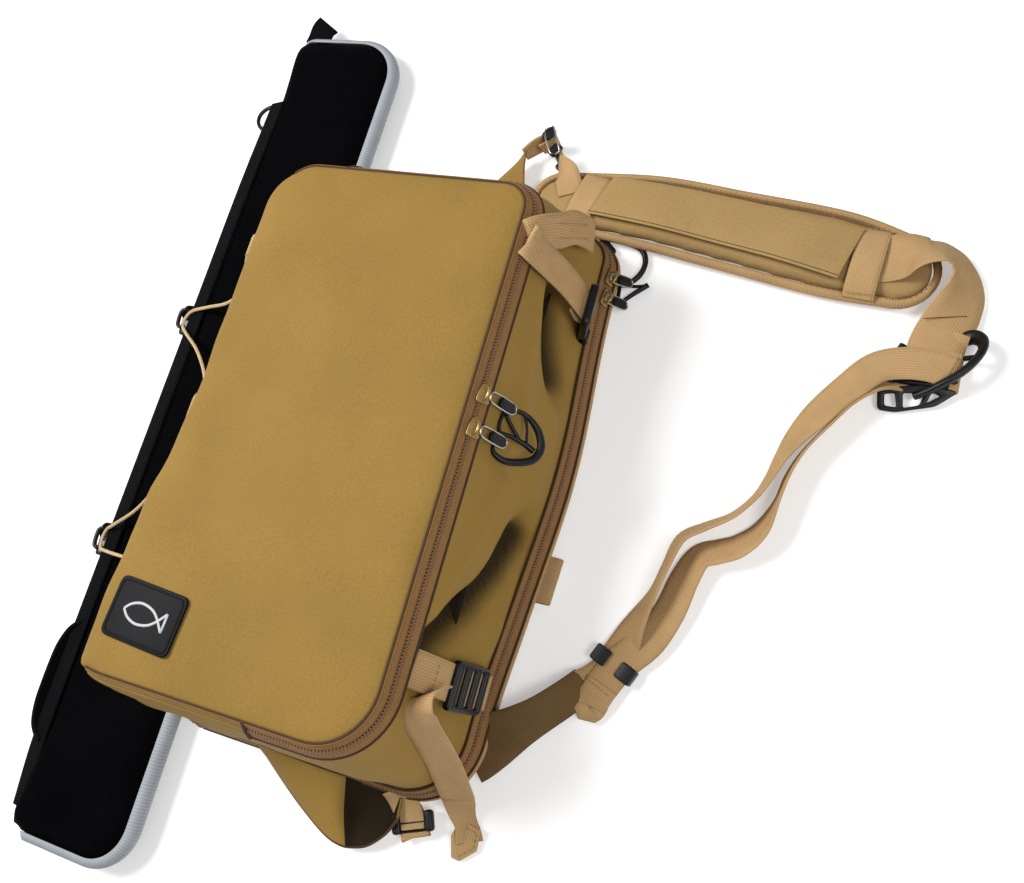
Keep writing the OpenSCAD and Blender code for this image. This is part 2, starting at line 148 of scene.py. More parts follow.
def fabric_painted_fold_shade(name, colour, rough=0.75):
    """The same nylon, darkened with painted shade toward near black where the mesh attribute "shade" falls
    toward zero.
    """
    mat = material(name, colour, rough, specular=0.14)
    fine = noise_value(mat, 900.0, 3.0)
    grain = math_node(mat, "MULTIPLY_ADD", fine, constant=0.4)
    shade = add_node(mat, "ShaderNodeAttribute", attribute_name="shade")
    both = math_node(mat, "MULTIPLY", grain, shade.outputs["Fac"])
    # Painted shade: where shade is 0 the colour falls to 0.05 of the tan
    colours = ramp(mat, both, colour, 0.05, 1.12, 0.0, 0.66)
    link(mat, colours, mat.node_tree.nodes["Principled BSDF"].inputs["Base Color"])
    bump(mat, fine, 0.35, 0.00025)
    return mat


def wave_of(mat, value, pitch):
    """Sine of value with that pitch, from 0 to 1."""
    turned = math_node(mat, "SINE", math_node(mat, "MULTIPLY", value, constant=2 * math.pi / pitch))
    return math_node(mat, "MULTIPLY_ADD", turned, constant=0.5)


def webbing(name, colour, across=2.2, along=1.7, low=0.7, high=1.15, rough=0.8):
    """Ribbed webbing: ribs run along the band, and the weft crosses them. UVs are in millimetres."""
    mat = material(name, colour, rough, specular=min(0.12, 12 * colour[1]))
    uv = add_node(mat, "ShaderNodeUVMap")
    split = add_node(mat, "ShaderNodeSeparateXYZ")
    link(mat, uv.outputs["UV"], split.inputs[0])
    ribs = wave_of(mat, split.outputs["X"], across)
    weft = wave_of(mat, split.outputs["Y"], along)
    height = math_node(mat, "ADD", math_node(mat, "MULTIPLY", ribs, constant=0.5),
                       math_node(mat, "MULTIPLY", weft, constant=0.5))
    broad = noise_value(mat, 60.0)
    both = math_node(mat, "ADD", math_node(mat, "MULTIPLY", height, constant=0.6),
                     math_node(mat, "MULTIPLY", broad, constant=0.4))
    shade = ramp(mat, both, colour, low, high, 0.25, 0.75)
    link(mat, shade, mat.node_tree.nodes["Principled BSDF"].inputs["Base Color"])
    bump(mat, height, 0.6, 0.0005)
    return mat


TAN = (0.246, 0.148, 0.034)
M = {
    "bag": fabric("bag_fabric", TAN),
    # The gusset's cloth, with painted shade in its deep fold valleys
    "folded": fabric_painted_fold_shade("fabric_painted_fold_shade", TAN),
    "pad": fabric("pad_fabric", (0.33, 0.215, 0.085)),
    "web": webbing("strap_webbing", (0.44, 0.28, 0.13), 1.9, 1.3, 0.78, 1.12),
    "tape": webbing("zip_tape", (0.27, 0.14, 0.052), 1.2, 1.2, 0.82, 1.1),
    "coil": material("zip_coil", (0.19, 0.095, 0.036), 0.5),
    "seam": material("seam_shadow", (0.055, 0.026, 0.012), 0.9),
    "stitch": material("stitching", (0.34, 0.21, 0.08), 0.8),
    # The strap webbing darkened: painted shade for the corner strap
    "web_painted_shade": webbing("dark_webbing", (0.15, 0.088, 0.036), 1.9, 1.3, 0.7, 1.2),
    "cord": webbing("lacing_cord", (0.60, 0.44, 0.25), 1.5, 1.3, 0.7, 1.1),
    "case": fabric("case_fabric", (0.0012, 0.0012, 0.0016), 0.92, 0.6, 1.6, 700.0),
    "case_web": webbing("case_webbing", (0.003, 0.003, 0.0035), 2.2, 1.7, 0.6, 1.5),
    "grey": webbing("case_binding", (0.30, 0.32, 0.35), 30.0, 2.6, 0.8, 1.12),
    "plastic": material("black_plastic", (0.003, 0.003, 0.0035), 0.42, specular=0.3),
    "wire": material("pull_wire", (0.42, 0.40, 0.36), 0.3, metal=1.0),
    "brass": material("slider_metal", (0.42, 0.29, 0.11), 0.4, metal=0.9),
    # Grey patches on the black buckles: painted highlights
    "plastic_painted_highlight": material("plastic_painted_highlight", (0.16, 0.17, 0.17), 0.5),
    "patch": fabric("patch_rubber", (0.006, 0.006, 0.007), 0.6, 0.7, 1.4),
    "patch_mark": material("patch_mark", (0.45, 0.46, 0.47), 0.6),
    "lining": fabric("lining", (0.018, 0.012, 0.006), 0.95),
    "pad_mesh": fabric("back_mesh", (0.028, 0.026, 0.024), 0.95, 0.5, 1.5, 420.0, 0.0006),
}


# ---------- mesh helpers ----------
class Shape:
    """Points, faces, UVs and materials of one piece, gathered part by part."""

    def __init__(self, *materials):
        self.names = materials
        self.verts, self.faces, self.slots, self.uvs = [], [], [], []

    def add(self, verts, faces, mat=None, uvs=None):
        base = len(self.verts)
        index = self.names.index(mat) if mat else 0
        self.verts += [Vector(v) for v in verts]
        self.uvs += uvs or [(v[0], v[1]) for v in verts]
        self.faces += [[base + i for i in face] for face in faces]
        self.slots += [index] * len(faces)

    def skin(self, verts, cols, mat=None, uvs=None, loop=False, caps=True):
        """Adds rings of cols points each, closed by end faces or, with loop, joined end to end."""
        faces = grid_faces(len(verts) // cols, cols, loop=loop)
        if caps and not loop:
            faces += [list(range(cols)), [len(verts) - 1 - i for i in range(cols)]]
        self.add(verts, faces, mat, uvs)

    def make(self, name, body, node=None):
        """Makes the object; it stands for the CAD node of its own name, or for the one given."""
        mesh = bpy.data.meshes.new(name)
        mesh.from_pydata([v * MM for v in self.verts], [], self.faces)
        layer = mesh.uv_layers.new(name="UVMap")
        for loop in mesh.loops:
            layer.data[loop.index].uv = self.uvs[loop.vertex_index]
        for key in self.names:
            mesh.materials.append(M[key])
        for face, index in zip(mesh.polygons, self.slots):
            face.material_index = index
            face.use_smooth = True
        tidy(mesh)
        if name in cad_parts:
            node = name
            name += "_looks"
        obj = bpy.data.objects.new(name, mesh)
        bpy.context.scene.collection.objects.link(obj)
        if node:
            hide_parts(node)
        if body:
            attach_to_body(obj, body)
        return obj


def tidy(mesh, weld=0.0):
    """Joins points nearer than weld and makes the faces look outward."""
    bm = bmesh.new()
    bm.from_mesh(mesh)
    if weld:
        bmesh.ops.remove_doubles(bm, verts=bm.verts, dist=weld)
    bmesh.ops.recalc_face_normals(bm, faces=bm.faces)
    bm.to_mesh(mesh)
    bm.free()


def modifier(obj, kind, **values):
    mod = obj.modifiers.new(kind.lower(), kind)
    for key, value in values.items():
        setattr(mod, key, value)
    return mod


def bake(obj):
    """Applies the object's modifiers to its mesh."""
    bpy.context.view_layer.update()
    seen = obj.evaluated_get(bpy.context.evaluated_depsgraph_get())
    mesh = bpy.data.meshes.new_from_object(seen)
    obj.modifiers.clear()
    obj.data = mesh
    return obj


def spline(stations, steps):
    """Catmull-Rom points through the stations, which may carry extra numbers such as roll."""
    out = []
    last = len(stations) - 1
    for i in range(last):
        a, b = stations[max(i - 1, 0)], stations[i]
        c, d = stations[i + 1], stations[min(i + 2, last)]
        for j in range(steps):
            t = j / steps
            out.append([0.5 * (2 * q + (r - p) * t + (2 * p - 5 * q + 4 * r - s) * t * t
                               + (3 * q - p - 3 * r + s) * t ** 3)
                        for p, q, r, s in zip(a, b, c, d)])
    out.append(list(stations[last]))
    return out


def grid_faces(rows, cols, closed=True, loop=False):
    """Quads between rows of points: each row is a ring when closed, and loop joins the ends."""
    span = cols if closed else cols - 1
    pairs = [(i * cols, (i + 1) * cols) for i in range(rows - 1)]
    if loop:
        pairs.append(((rows - 1) * cols, 0))
    return [[a + j, a + (j + 1) % cols, b + (j + 1) % cols, b + j]
            for a, b in pairs for j in range(span)]


def headings(points):
    last = len(points) - 1
    return [(points[min(i + 1, last)] - points[max(i - 1, 0)]).normalized()
            for i in range(last + 1)]


BAND_PROFILE = [(-0.5, 0), (-0.485, 1), (-0.3, 1), (-0.1, 1), (0.1, 1), (0.3, 1), (0.485, 1),
                (0.5, 0), (0.485, -1), (0.3, -1), (0.1, -1), (-0.1, -1), (-0.3, -1), (-0.485, -1)]


def band(shape, stations, width=WEB, thick=WEB_T, mat="web", wide=None, steps=6):
    """A flat band along [x, y, z, roll] stations, or [x, y, z, roll, width] ones."""
    path = spline(stations, steps)
    points = [Vector(p[:3]) for p in path]
    along = 0.0
    verts, uvs = [], []
    for i, (p, ahead) in enumerate(zip(points, headings(points))):
        if wide is None:
            side = UP.cross(ahead).normalized()
        else:
            side = (Vector(wide) - ahead * Vector(wide).dot(ahead)).normalized()
        over = ahead.cross(side)
        roll = math.radians(path[i][3])
        across = side * math.cos(roll) + over * math.sin(roll)
        out = over * math.cos(roll) - side * math.sin(roll)
        w = path[i][4] if len(path[i]) > 4 else width
        along += (points[i] - points[max(i - 1, 0)]).length
        for a, b in BAND_PROFILE:
            verts.append(p + across * a * w + out * (b * thick / 2))
            uvs.append((a * w, along))
    shape.skin(verts, len(BAND_PROFILE), mat, uvs)


def tube(shape, points, radius, mat, sides=10, closed=False, flat=1.0):
    """A round rod through the points; radius may be one number or one for each point."""
    points = [Vector(p[:3]) for p in points]
    radii = radius if isinstance(radius, list) else [radius] * len(points)
    if closed:
        points = points + [points[0]]
        radii = radii + [radii[0]]
    verts, uvs = [], []
    side, along = None, 0.0
    for i, (p, ahead) in enumerate(zip(points, headings(points))):
        if side is None:
            side = UP.cross(ahead)
            if side.length < 0.1:
                side = Vector((1, 0.3, 0)).cross(ahead)
        side = (side - ahead * side.dot(ahead)).normalized()
        over = ahead.cross(side)
        along += (points[i] - points[max(i - 1, 0)]).length
        for j in range(sides):
            turn = 2 * math.pi * j / sides
            verts.append(p + (side * math.cos(turn) + over * math.sin(turn) * flat) * radii[i])
            uvs.append((2 * radii[i] * abs(math.sin(turn / 2)), along))
    if closed:
        verts, uvs = verts[:-sides], uvs[:-sides]
    shape.skin(verts, sides, mat, uvs, loop=closed)


def loft(shape, rings, mat, caps=True, close_rows=False):
    """A skin through rings of equal point counts."""
    verts = [p for line in rings for p in line]
    shape.skin(verts, len(rings[0]), mat, loop=close_rows, caps=caps)


def rounded(points, radius, steps=5):
    """The closed polygon with each corner rounded by an arc-like curve."""
    out = []
    count = len(points)
    for i, corner in enumerate(points):
        corner = Vector(corner)
        before, after = Vector(points[i - 1]), Vector(points[(i + 1) % count])
        cut_a = min(radius, (before - corner).length * 0.45)
        cut_b = min(radius, (after - corner).length * 0.45)
        a = corner + (before - corner).normalized() * cut_a
        b = corner + (after - corner).normalized() * cut_b
        for j in range(steps + 1):
            t = j / steps
            out.append(a * (1 - t) ** 2 + corner * 2 * t * (1 - t) + b * t * t)
    return [(p.x, p.y) for p in out]


def plate(shape, loops, thick, lay, mat, edge=0.6):
    """A moulded plate: loops[0] is its outline and the others are holes, in mm in the XY plane."""
    curve = bpy.data.curves.new("plate", "CURVE")
    curve.dimensions = "2D"
    curve.fill_mode = "BOTH"
    curve.extrude = thick / 2 - edge
    curve.bevel_depth = edge
    curve.bevel_resolution = 2
    curve.offset = -edge
    for loop in loops:
        line = curve.splines.new("POLY")
        line.points.add(len(loop) - 1)
        for point, (x, y) in zip(line.points, loop):
            point.co = (x, y, 0, 1)
        line.use_cyclic_u = True
    obj = bpy.data.objects.new("plate", curve)
    bpy.context.scene.collection.objects.link(obj)
    bpy.context.view_layer.update()
    seen = obj.evaluated_get(bpy.context.evaluated_depsgraph_get())
    mesh = bpy.data.meshes.new_from_object(seen)
    bm = bmesh.new()
    bm.from_mesh(mesh)
    bmesh.ops.remove_doubles(bm, verts=bm.verts, dist=0.01)
    bm.verts.index_update()
    shape.add([lay @ v.co for v in bm.verts], [[v.index for v in f.verts] for f in bm.faces], mat)
    bm.free()
    bpy.data.objects.remove(obj)
    bpy.data.curves.remove(curve)
    bpy.data.meshes.remove(mesh)


def box_loop(w, h, x=0.0, y=0.0, radius=1.5):
    return rounded([(x - w / 2, y - h / 2), (x + w / 2, y - h / 2), (x + w / 2, y + h / 2),
                    (x - w / 2, y + h / 2)], radius)


def place(x, y, z, rx=0, ry=0, rz=0):
    turn = (Matrix.Rotation(math.radians(rz), 4, "Z") @ Matrix.Rotation(math.radians(ry), 4, "Y")
            @ Matrix.Rotation(math.radians(rx), 4, "X"))
    return Matrix.Translation((x, y, z)) @ turn


def stitch_row(shape, points, lift, length=2.6, gap=1.6, mat="stitch", radius=0.32):
    """Short thread stitches laid along the points, lifted along lift."""
    points = [Vector(p[:3]) for p in points]
    lift = Vector(lift)
    run = [0.0]
    for a, b in zip(points, points[1:]):
        run.append(run[-1] + (b - a).length)

    def at(s):
        i = max(k for k in range(len(run) - 1) if run[k] <= s)
        t = (s - run[i]) / max(run[i + 1] - run[i], 1e-6)
        return points[i].lerp(points[i + 1], t) + lift

    s = 0.0
    while s + length < run[-1]:
        tube(shape, [at(s), at(s + length * 0.5) + lift.normalized() * 0.15, at(s + length)],
             radius, mat, sides=5)
        s += length + gap


def inflate(obj, voxel, cap, pressure=4.0, floor=None, frames=20):
    """Swells a closed shape with cloth pressure, then keeps each point within cap metres."""
    modifier(obj, "REMESH", mode="VOXEL", voxel_size=voxel)
    bake(obj)
    rest = [v.co.copy() for v in obj.data.vertices]
    cloth = modifier(obj, "CLOTH")
    cloth.settings.quality = 4
    cloth.settings.use_pressure = True
    cloth.settings.uniform_pressure_force = pressure
    cloth.settings.effector_weights.gravity = 0
    for f in range(1, frames + 1):
        bpy.context.scene.frame_set(f)
    seen = obj.evaluated_get(bpy.context.evaluated_depsgraph_get())
    swollen = [v.co.copy() for v in seen.data.vertices]
    obj.modifiers.clear()
    bpy.context.scene.frame_set(1)
    for v, a, b in zip(obj.data.vertices, rest, swollen):
        move = b - a
        if move.length > 1e-9:
            move *= cap * (1 - math.exp(-move.length / cap)) / move.length
        v.co = a + move
    modifier(obj, "SMOOTH", factor=0.5, iterations=4)
    modifier(obj, "SUBSURF", levels=1, render_levels=1)
    bake(obj)
    if floor is not None:
        for v in obj.data.vertices:
            v.co.z = max(v.co.z, floor)
    for face in obj.data.polygons:
        face.use_smooth = True
    return obj


def wrinkle(x, y, scale, seed=0.0):
    """Smooth noise from about -1 to 1 at millimetre places."""
    return noise.noise(Vector((x / scale, y / scale, seed)))


def smoothstep(low, high, x):
    t = min(1.0, max(0.0, (x - low) / (high - low)))
    return t * t * (3 - 2 * t)


# ---------- outlines ----------
def outline(x0, x1, y0, y1, radii, counts=(56, 96, 56, 96), corner=14):
    """Counter-clockwise (x, y, nx, ny) from the bottom left; radii are bl, br, tr, tl."""
    bl, br, tr, tl = radii
    sides = [((x0 + bl, y0), (x1 - br, y0), (0, -1)), ((x1, y0 + br), (x1, y1 - tr), (1, 0)),
             ((x1 - tr, y1), (x0 + tl, y1), (0, 1)), ((x0, y1 - tl), (x0, y0 + bl), (-1, 0))]
    arcs = [((x1 - br, y0 + br), br, -90), ((x1 - tr, y1 - tr), tr, 0),
            ((x0 + tl, y1 - tl), tl, 90), ((x0 + bl, y0 + bl), bl, 180)]
    out = []
    for (a, b, n), count, (centre, radius, start) in zip(sides, counts, arcs):
        for i in range(count):
            t = i / count
            out.append((a[0] + (b[0] - a[0]) * t, a[1] + (b[1] - a[1]) * t, n[0], n[1]))
        for i in range(corner):
            turn = math.radians(start + 90 * i / corner)
            nx, ny = math.cos(turn), math.sin(turn)
            out.append((centre[0] + radius * nx, centre[1] + radius * ny, nx, ny))
    return out


def bow(y, nx):
    """The back edge bows outward in the middle of the strap side, where the bag sags."""
    return max(nx, 0.0) * (8.5 * math.exp(-((y - 30) / 95) ** 2)
                           - 3.5 * math.exp(-((y + 165) / 55) ** 2))


BACK = [(x + bow(y, nx), y, nx, ny) for x, y, nx, ny in
        outline(-BACK_W, BACK_W, -BACK_H, BACK_H, (16, 46, 20, 16))]


def slack(y, nx):
    """The hinge edge leans outward toward the bottom of the bag, with one slack bulge."""
    lean = 4.5 - 14.5 * smoothstep(20, -160, y) - 2.6 * math.exp(-((y + 72) / 15) ** 2)
    return lean * smoothstep(0.0, 0.8, -nx)


FRONT = [(x + slack(y, nx), y, nx, ny) for x, y, nx, ny in
         outline(FRONT_X0, FRONT_X1, FRONT_Y0, FRONT_Y1, (10, 45, 22, 40))]


def ring(line, out, z):
    """The outline moved outward by out at height z; either may be a function of a point."""
    pull = out if callable(out) else (lambda p: out)
    rise = z if callable(z) else (lambda p: z)
    return [Vector((p[0] + p[2] * pull(p), p[1] + p[3] * pull(p), rise(p))) for p in line]


def on_left(p):
    """1 on the hinge side, 0 elsewhere."""
    return smoothstep(0.5, 0.95, -p[2])


def zipped(line):
    """The stretch of the front outline that has a coil: from the bottom edge round the strap side."""
    start = next(i for i, p in enumerate(line) if p[3] < -0.9 and p[0] > 12)
    end = max(i for i, p in enumerate(line) if p[3] > 0.9 and p[0] > -52)
    return line[start:end + 1]


def plain_parts(line):
    """The stretches of the front outline with a plain seam, either side of the hinge."""
    first = next(i for i, p in enumerate(line) if p[3] < -0.9 and p[0] > 12)
    last = max(i for i, p in enumerate(line) if p[3] > 0.9 and p[0] > -52)
    hinge_from = next(i for i, p in enumerate(line) if i > last and p[2] < -0.6)
    hinge_to = max(i for i, p in enumerate(line) if p[2] < -0.6)
    return line[hinge_to:] + line[:first + 1], line[last:hinge_from + 1]


def strip(shape, line, a, b, mat, thick=1.0, rows=4, curl=0.0):
    """A strip of cloth along an open line between two (out, z) edges, rounded outward by curl."""
    tilt = Vector((b[1] - a[1], a[0] - b[0]))
    tilt = tilt / max(tilt.length, 1e-6) * -1
    edge = []
    for i in range(rows + 1):
        t = i / rows
        edge.append((a[0] + (b[0] - a[0]) * t + curl * math.sin(math.pi * t) * tilt.x,
                     a[1] + (b[1] - a[1]) * t + curl * math.sin(math.pi * t) * tilt.y))
    profile = edge + [(o - tilt.x * thick, z - tilt.y * thick) for o, z in reversed(edge)]
    verts, uvs = [], []
    along = 0.0
    for i, p in enumerate(line):
        q = line[max(i - 1, 0)]
        along += math.hypot(p[0] - q[0], p[1] - q[1])
        for k, (o, z) in enumerate(profile):
            verts.append(Vector((p[0] + p[2] * o, p[1] + p[3] * o, z)))
            uvs.append((k * 2.0, along))
    shape.skin(verts, len(profile), mat, uvs)


def teeth(shape, line, at, lean, pitch=2.3, length=3.0, phase=0.0):
    """Coil turns along an outline; at is (out, z) and lean the direction across the tape."""
    travel, target = 0.0, phase
    for p, q in zip(line, line[1:]):
        gap = math.hypot(q[0] - p[0], q[1] - p[1])
        while target <= travel + gap:
            t = (target - travel) / max(gap, 1e-6)
            x, y = p[0] + (q[0] - p[0]) * t, p[1] + (q[1] - p[1]) * t
            nx, ny = p[2] + (q[2] - p[2]) * t, p[3] + (q[3] - p[3]) * t
            middle = Vector((x + nx * at[0], y + ny * at[0], at[1]))
            across = Vector((nx * lean[0], ny * lean[0], lean[1])).normalized() * length / 2
            tube(shape, [middle - across, middle - across * 0.6, middle + across * 0.6,
                         middle + across], [0.5, 0.85, 0.85, 0.5], "coil", sides=6)
            target += pitch
        travel += gap


# ---------- camera, light and floor ----------
def add_camera():
    data = bpy.data.cameras.new("camera")
    data.lens = 34.72
    data.sensor_width = 36.0
    data.clip_start = 0.02
    obj = bpy.data.objects.new("camera", data)
    back = Vector((0.3567, -0.2270, 0.9062)).normalized()
    above = Vector((-0.1759, 0.9364, 0.3038))
    right = above.cross(back).normalized()
    above = back.cross(right)
    turn = Matrix((right, above, back)).transposed()
    obj.matrix_world = Matrix.Translation((0.3587, -0.1280, 0.7201)) @ turn.to_4x4()
    bpy.context.scene.collection.objects.link(obj)
    bpy.context.scene.camera = obj


def add_light(name, spot, energy, size, aim=(0, 0, 0.05)):
    data = bpy.data.lights.new(name, "AREA")
    data.energy = energy
    data.size = size
    obj = bpy.data.objects.new(name, data)
    obj.location = spot
    obj.rotation_euler = (Vector(aim) - Vector(spot)).to_track_quat("-Z", "Y").to_euler()
    bpy.context.scene.collection.objects.link(obj)


def add_studio():
    world = bpy.data.worlds.new("studio")
    world.use_nodes = True
    world.node_tree.nodes["Background"].inputs["Color"].default_value = (1.0, 1.0, 1.0, 1)
    world.node_tree.nodes["Background"].inputs["Strength"].default_value = 0.3
    bpy.context.scene.world = world
    bpy.context.scene.view_settings.view_transform = "Standard"
    add_light("key", (-0.95, 0.15, 1.5), 36.0, 0.7)
    add_light("side", (1.05, -0.25, 1.35), 11.0, 0.5)
    mesh = bpy.data.meshes.new("floor")
    mesh.from_pydata([(-6, -6, 0), (6, -6, 0), (6, 6, 0), (-6, 6, 0)], [], [(0, 1, 2, 3)])
    paper = material("floor", (0.74, 0.74, 0.74), 0.9)
    paper.node_tree.nodes["Principled BSDF"].inputs["Emission Color"].default_value = (1, 1, 1, 1)
    paper.node_tree.nodes["Principled BSDF"].inputs["Emission Strength"].default_value = 0.34
    mesh.materials.append(paper)
    floor = bpy.data.objects.new("floor", mesh)
    floor.location.z = -0.0006
    bpy.context.scene.collection.objects.link(floor)


add_camera()
add_studio()


# ---------- front lid ----------
def front_panel():
    """The padded front panel: crowned, with slow ripples, and wrapped over the hinge edge."""
    shape = Shape("bag", "lining")

    def skirt(out, z, left_out, left_z):
        return ring(FRONT, lambda p: out + (left_out - out) * on_left(p),
                    lambda p: z + (left_z - z) * on_left(p))

    rows = [skirt(-3.4, 151.4, 2.6, 141.8), skirt(-2.9, 152.4, 3.4, 146.5),
            skirt(-3.3, 153.6, 1.2, 151.2), skirt(-5.0, 154.3, -3.2, 153.9)]
    middle = Vector((-7, -1, 0))
    shares = [1 - 0.955 * (i / 22) ** 1.15 for i in range(1, 23)]
    edge = ring(FRONT, -5.2, 0)
    for s in shares:
        row = []
        for p in edge:
            q = middle + (p - middle) * s
            depth = (1 - s) * min(abs(p.x - middle.x) + 40, 130)
            inward = 1 - math.exp(-depth / 9)
            ripple = 1.5 * wrinkle(q.x + 0.35 * q.y, q.y - 0.3 * q.x, 62, 3.1)
            ripple += 0.7 * wrinkle(q.x, q.y, 27, 8.4) * math.exp(-depth / 60)
            tuck = 1.1 * wrinkle(q.x * 0.4, q.y, 21, 5.2) * math.exp(-depth / 16) * inward
            row.append(Vector((q.x, q.y, 154.4 + 2.6 * inward + ripple * inward + tuck)))
        rows.append(row)
    loft(shape, rows, "bag", caps=False)
    n = len(FRONT)
    shape.add(rows[-1], [list(range(n))], "bag")
    under = [skirt(-3.4, 151.4, 2.6, 141.8), skirt(-5, 149.4, -0.4, 142.4), ring(FRONT, -9, 148.6)]
    under += [[middle + (p - middle) * s + UP * 148.2 for p in edge] for s in (0.7, 0.4, 0.05)]
    loft(shape, under, "lining", caps=False)
    shape.add(under[-1], [list(range(n))], "lining")
    obj = shape.make("front_panel", None)
    tidy(obj.data, WELD)
    bow_left(obj)
    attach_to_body(obj, "front_lid")


def bow_left(obj):
    """Slack bulges along the hinge edge."""
    for v in obj.data.vertices:
        x, y = v.co.x / MM, v.co.y / MM
        near = math.exp(-max(0.0, x - FRONT_X0) / 16)
        push = 1.6 * wrinkle(0, y, 34, 2.0)
        v.co.x -= push * near * MM * smoothstep(195, 150, abs(y))


def front_seam():
    """Piping where the panel meets the zip, dark in the seam-shadow colour: painted shade along the seam."""
    shape = Shape("seam", "tape")
    before, after = plain_parts(FRONT)
    open_line = before[:-1] + zipped(FRONT) + after[1:]
    path = ring(open_line, -2.6, 153.2)
    tube(shape, path, 0.95, "seam", sides=7)
    tube(shape, ring(open_line, -1.7, 152.3), 1.0, "tape", sides=7)
    shape.make("front_piping", "front_lid")


def front_zip():
    """Both tapes of the front zip with their coil turns, and the plain seam either side."""
    line = zipped(FRONT)
    upper = Shape("tape", "coil", "bag", "seam")
    strip(upper, line, (-2.4, 153.0), (1.6, 146.4), "tape", curl=0.8)
    # The seam-shadow strip under the upper tape and the rod below the lower tape are painted shade in the
    # seams
    strip(upper, line, (0.2, 148.2), (1.7, 146.2), "seam", thick=0.5, rows=1)
    teeth(upper, line, (2.0, 146.6), (0.55, -0.85))
    lower = Shape("tape", "coil", "bag", "seam")
    strip(lower, line, (2.2, 145.6), (6.2, 138.2), "tape", curl=0.8)
    teeth(lower, line, (2.9, 145.3), (0.55, -0.85), phase=1.15)
    tube(lower, ring(line, 6.4, 137.7), 0.9, "seam", sides=7)
    for part in plain_parts(FRONT):
        strip(upper, part, (-2.6, 152.6), (2.4, 146.0), "bag", curl=1.0)
        strip(lower, part, (2.4, 146.4), (5.6, 137.4), "bag", curl=1.0)
    upper.make("front_zip_upper_half", "front_lid")
    lower.make("front_zip_lower_half", "front_section")
    stops = Shape("tape", "seam")
    for p in (line[0], line[-1]):
        here = Vector((p[0], p[1], 0))
        flat = [(here.x + p[2] * o, here.y + p[3] * o, z) for o, z in
                ((-2.8, 153.8), (2.6, 146.8), (7.0, 138.0))]
        tube(stops, spline(flat, 4), 1.5, "seam", sides=8)
    stops.make("front_zip_stops", "front_section")


def left_hinge():
    """Cloth that bends where the lid and the main compartment open, on the rod case side."""
    left = [p for p in FRONT if p[2] < -0.97]
    shape = Shape("bag")
    strip(shape, left, (3.1, 143.6), (4.6, 135.6), "bag", curl=1.4, rows=8)
    obj = shape.make("lid_hinge_cloth", None)
    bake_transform(obj)
    left = [p for p in BACK if p[2] < -0.97]
    shape = Shape("bag")
    strip(shape, left, (1.4, 36), (3.4, 14), "bag", curl=2.6, rows=10)
    obj = shape.make("main_hinge_cloth", None)
    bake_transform(obj)


def front_patch():
    """Rubber patch with a raised rim and a plain fish outline, with no lettering."""
    shape = Shape("patch", "patch_mark")
    lay = place(-82, -153, 158.2, rz=-4)
    plate(shape, [box_loop(58, 42, radius=6)], 2.2, lay, "patch", 0.7)
    rim = [Vector((x, y, 1.1)) for x, y in box_loop(53, 37, radius=5)]
    tube(shape, [lay @ p for p in rim], 0.7, "patch", sides=6, closed=True)
    upper = [(-17, 0), (-12, 4.6), (-4, 7.0), (5, 5.4), (11, 1.4), (18, -6.4)]
    for side in (1, -1):
        line = [(x, y * side, 1.25) for x, y in upper]
        line = [lay @ Vector(p) for p in spline(line, 5)]
        tube(shape, line, 1.0, "patch_mark", sides=8, flat=0.45)
    tail = [lay @ Vector((18, y, 1.25)) for y in (-6.4, 0, 6.4)]
    tube(shape, tail, 1.0, "patch_mark", sides=8, flat=0.45)
    shape.make("front_patch", "front_lid")


# ---------- middle section ----------
FOLDS = [
    ([(158, 128), (122, 122), (96, 116)], 9.0, 9.0),
    ([(84, 110), (50, 104), (30, 100)], 5.0, 11.0),
    ([(-5, 104), (-40, 108), (-70, 120), (-100, 132)], 7.0, 9.0),
    ([(142, 86), (118, 74), (92, 60)], -19.0, 17.0),
    ([(-30, 52), (-56, 60), (-84, 78), (-108, 102), (-128, 130)], -23.0, 15.0),
    ([(-50, 22), (-88, 30), (-122, 52)], 6.0, 8.0),
    ([(60, 60), (30, 56), (5, 60)], 6.0, 16.0),
    ([(204, 84), (184, 112), (160, 140)], -7.0, 12.0),
    ([(198, 52), (178, 70), (168, 96)], -6.0, 8.0),
]


def reach(y, z, line):
    """Distance in the side's own plane from a point to a fold line."""
    best = 1e9
    for a, b in zip(line, line[1:]):
        dy, dz = b[0] - a[0], b[1] - a[1]
        t = ((y - a[0]) * dy + (z - a[1]) * dz) / (dy * dy + dz * dz)
        t = min(1.0, max(0.0, t))
        best = min(best, math.hypot(y - a[0] - dy * t, z - a[1] - dz * t))
    return best


def side_folds(y, z):
    return sum(size * math.exp(-(reach(y, z, line) / spread) ** 2)
               for line, size, spread in FOLDS)


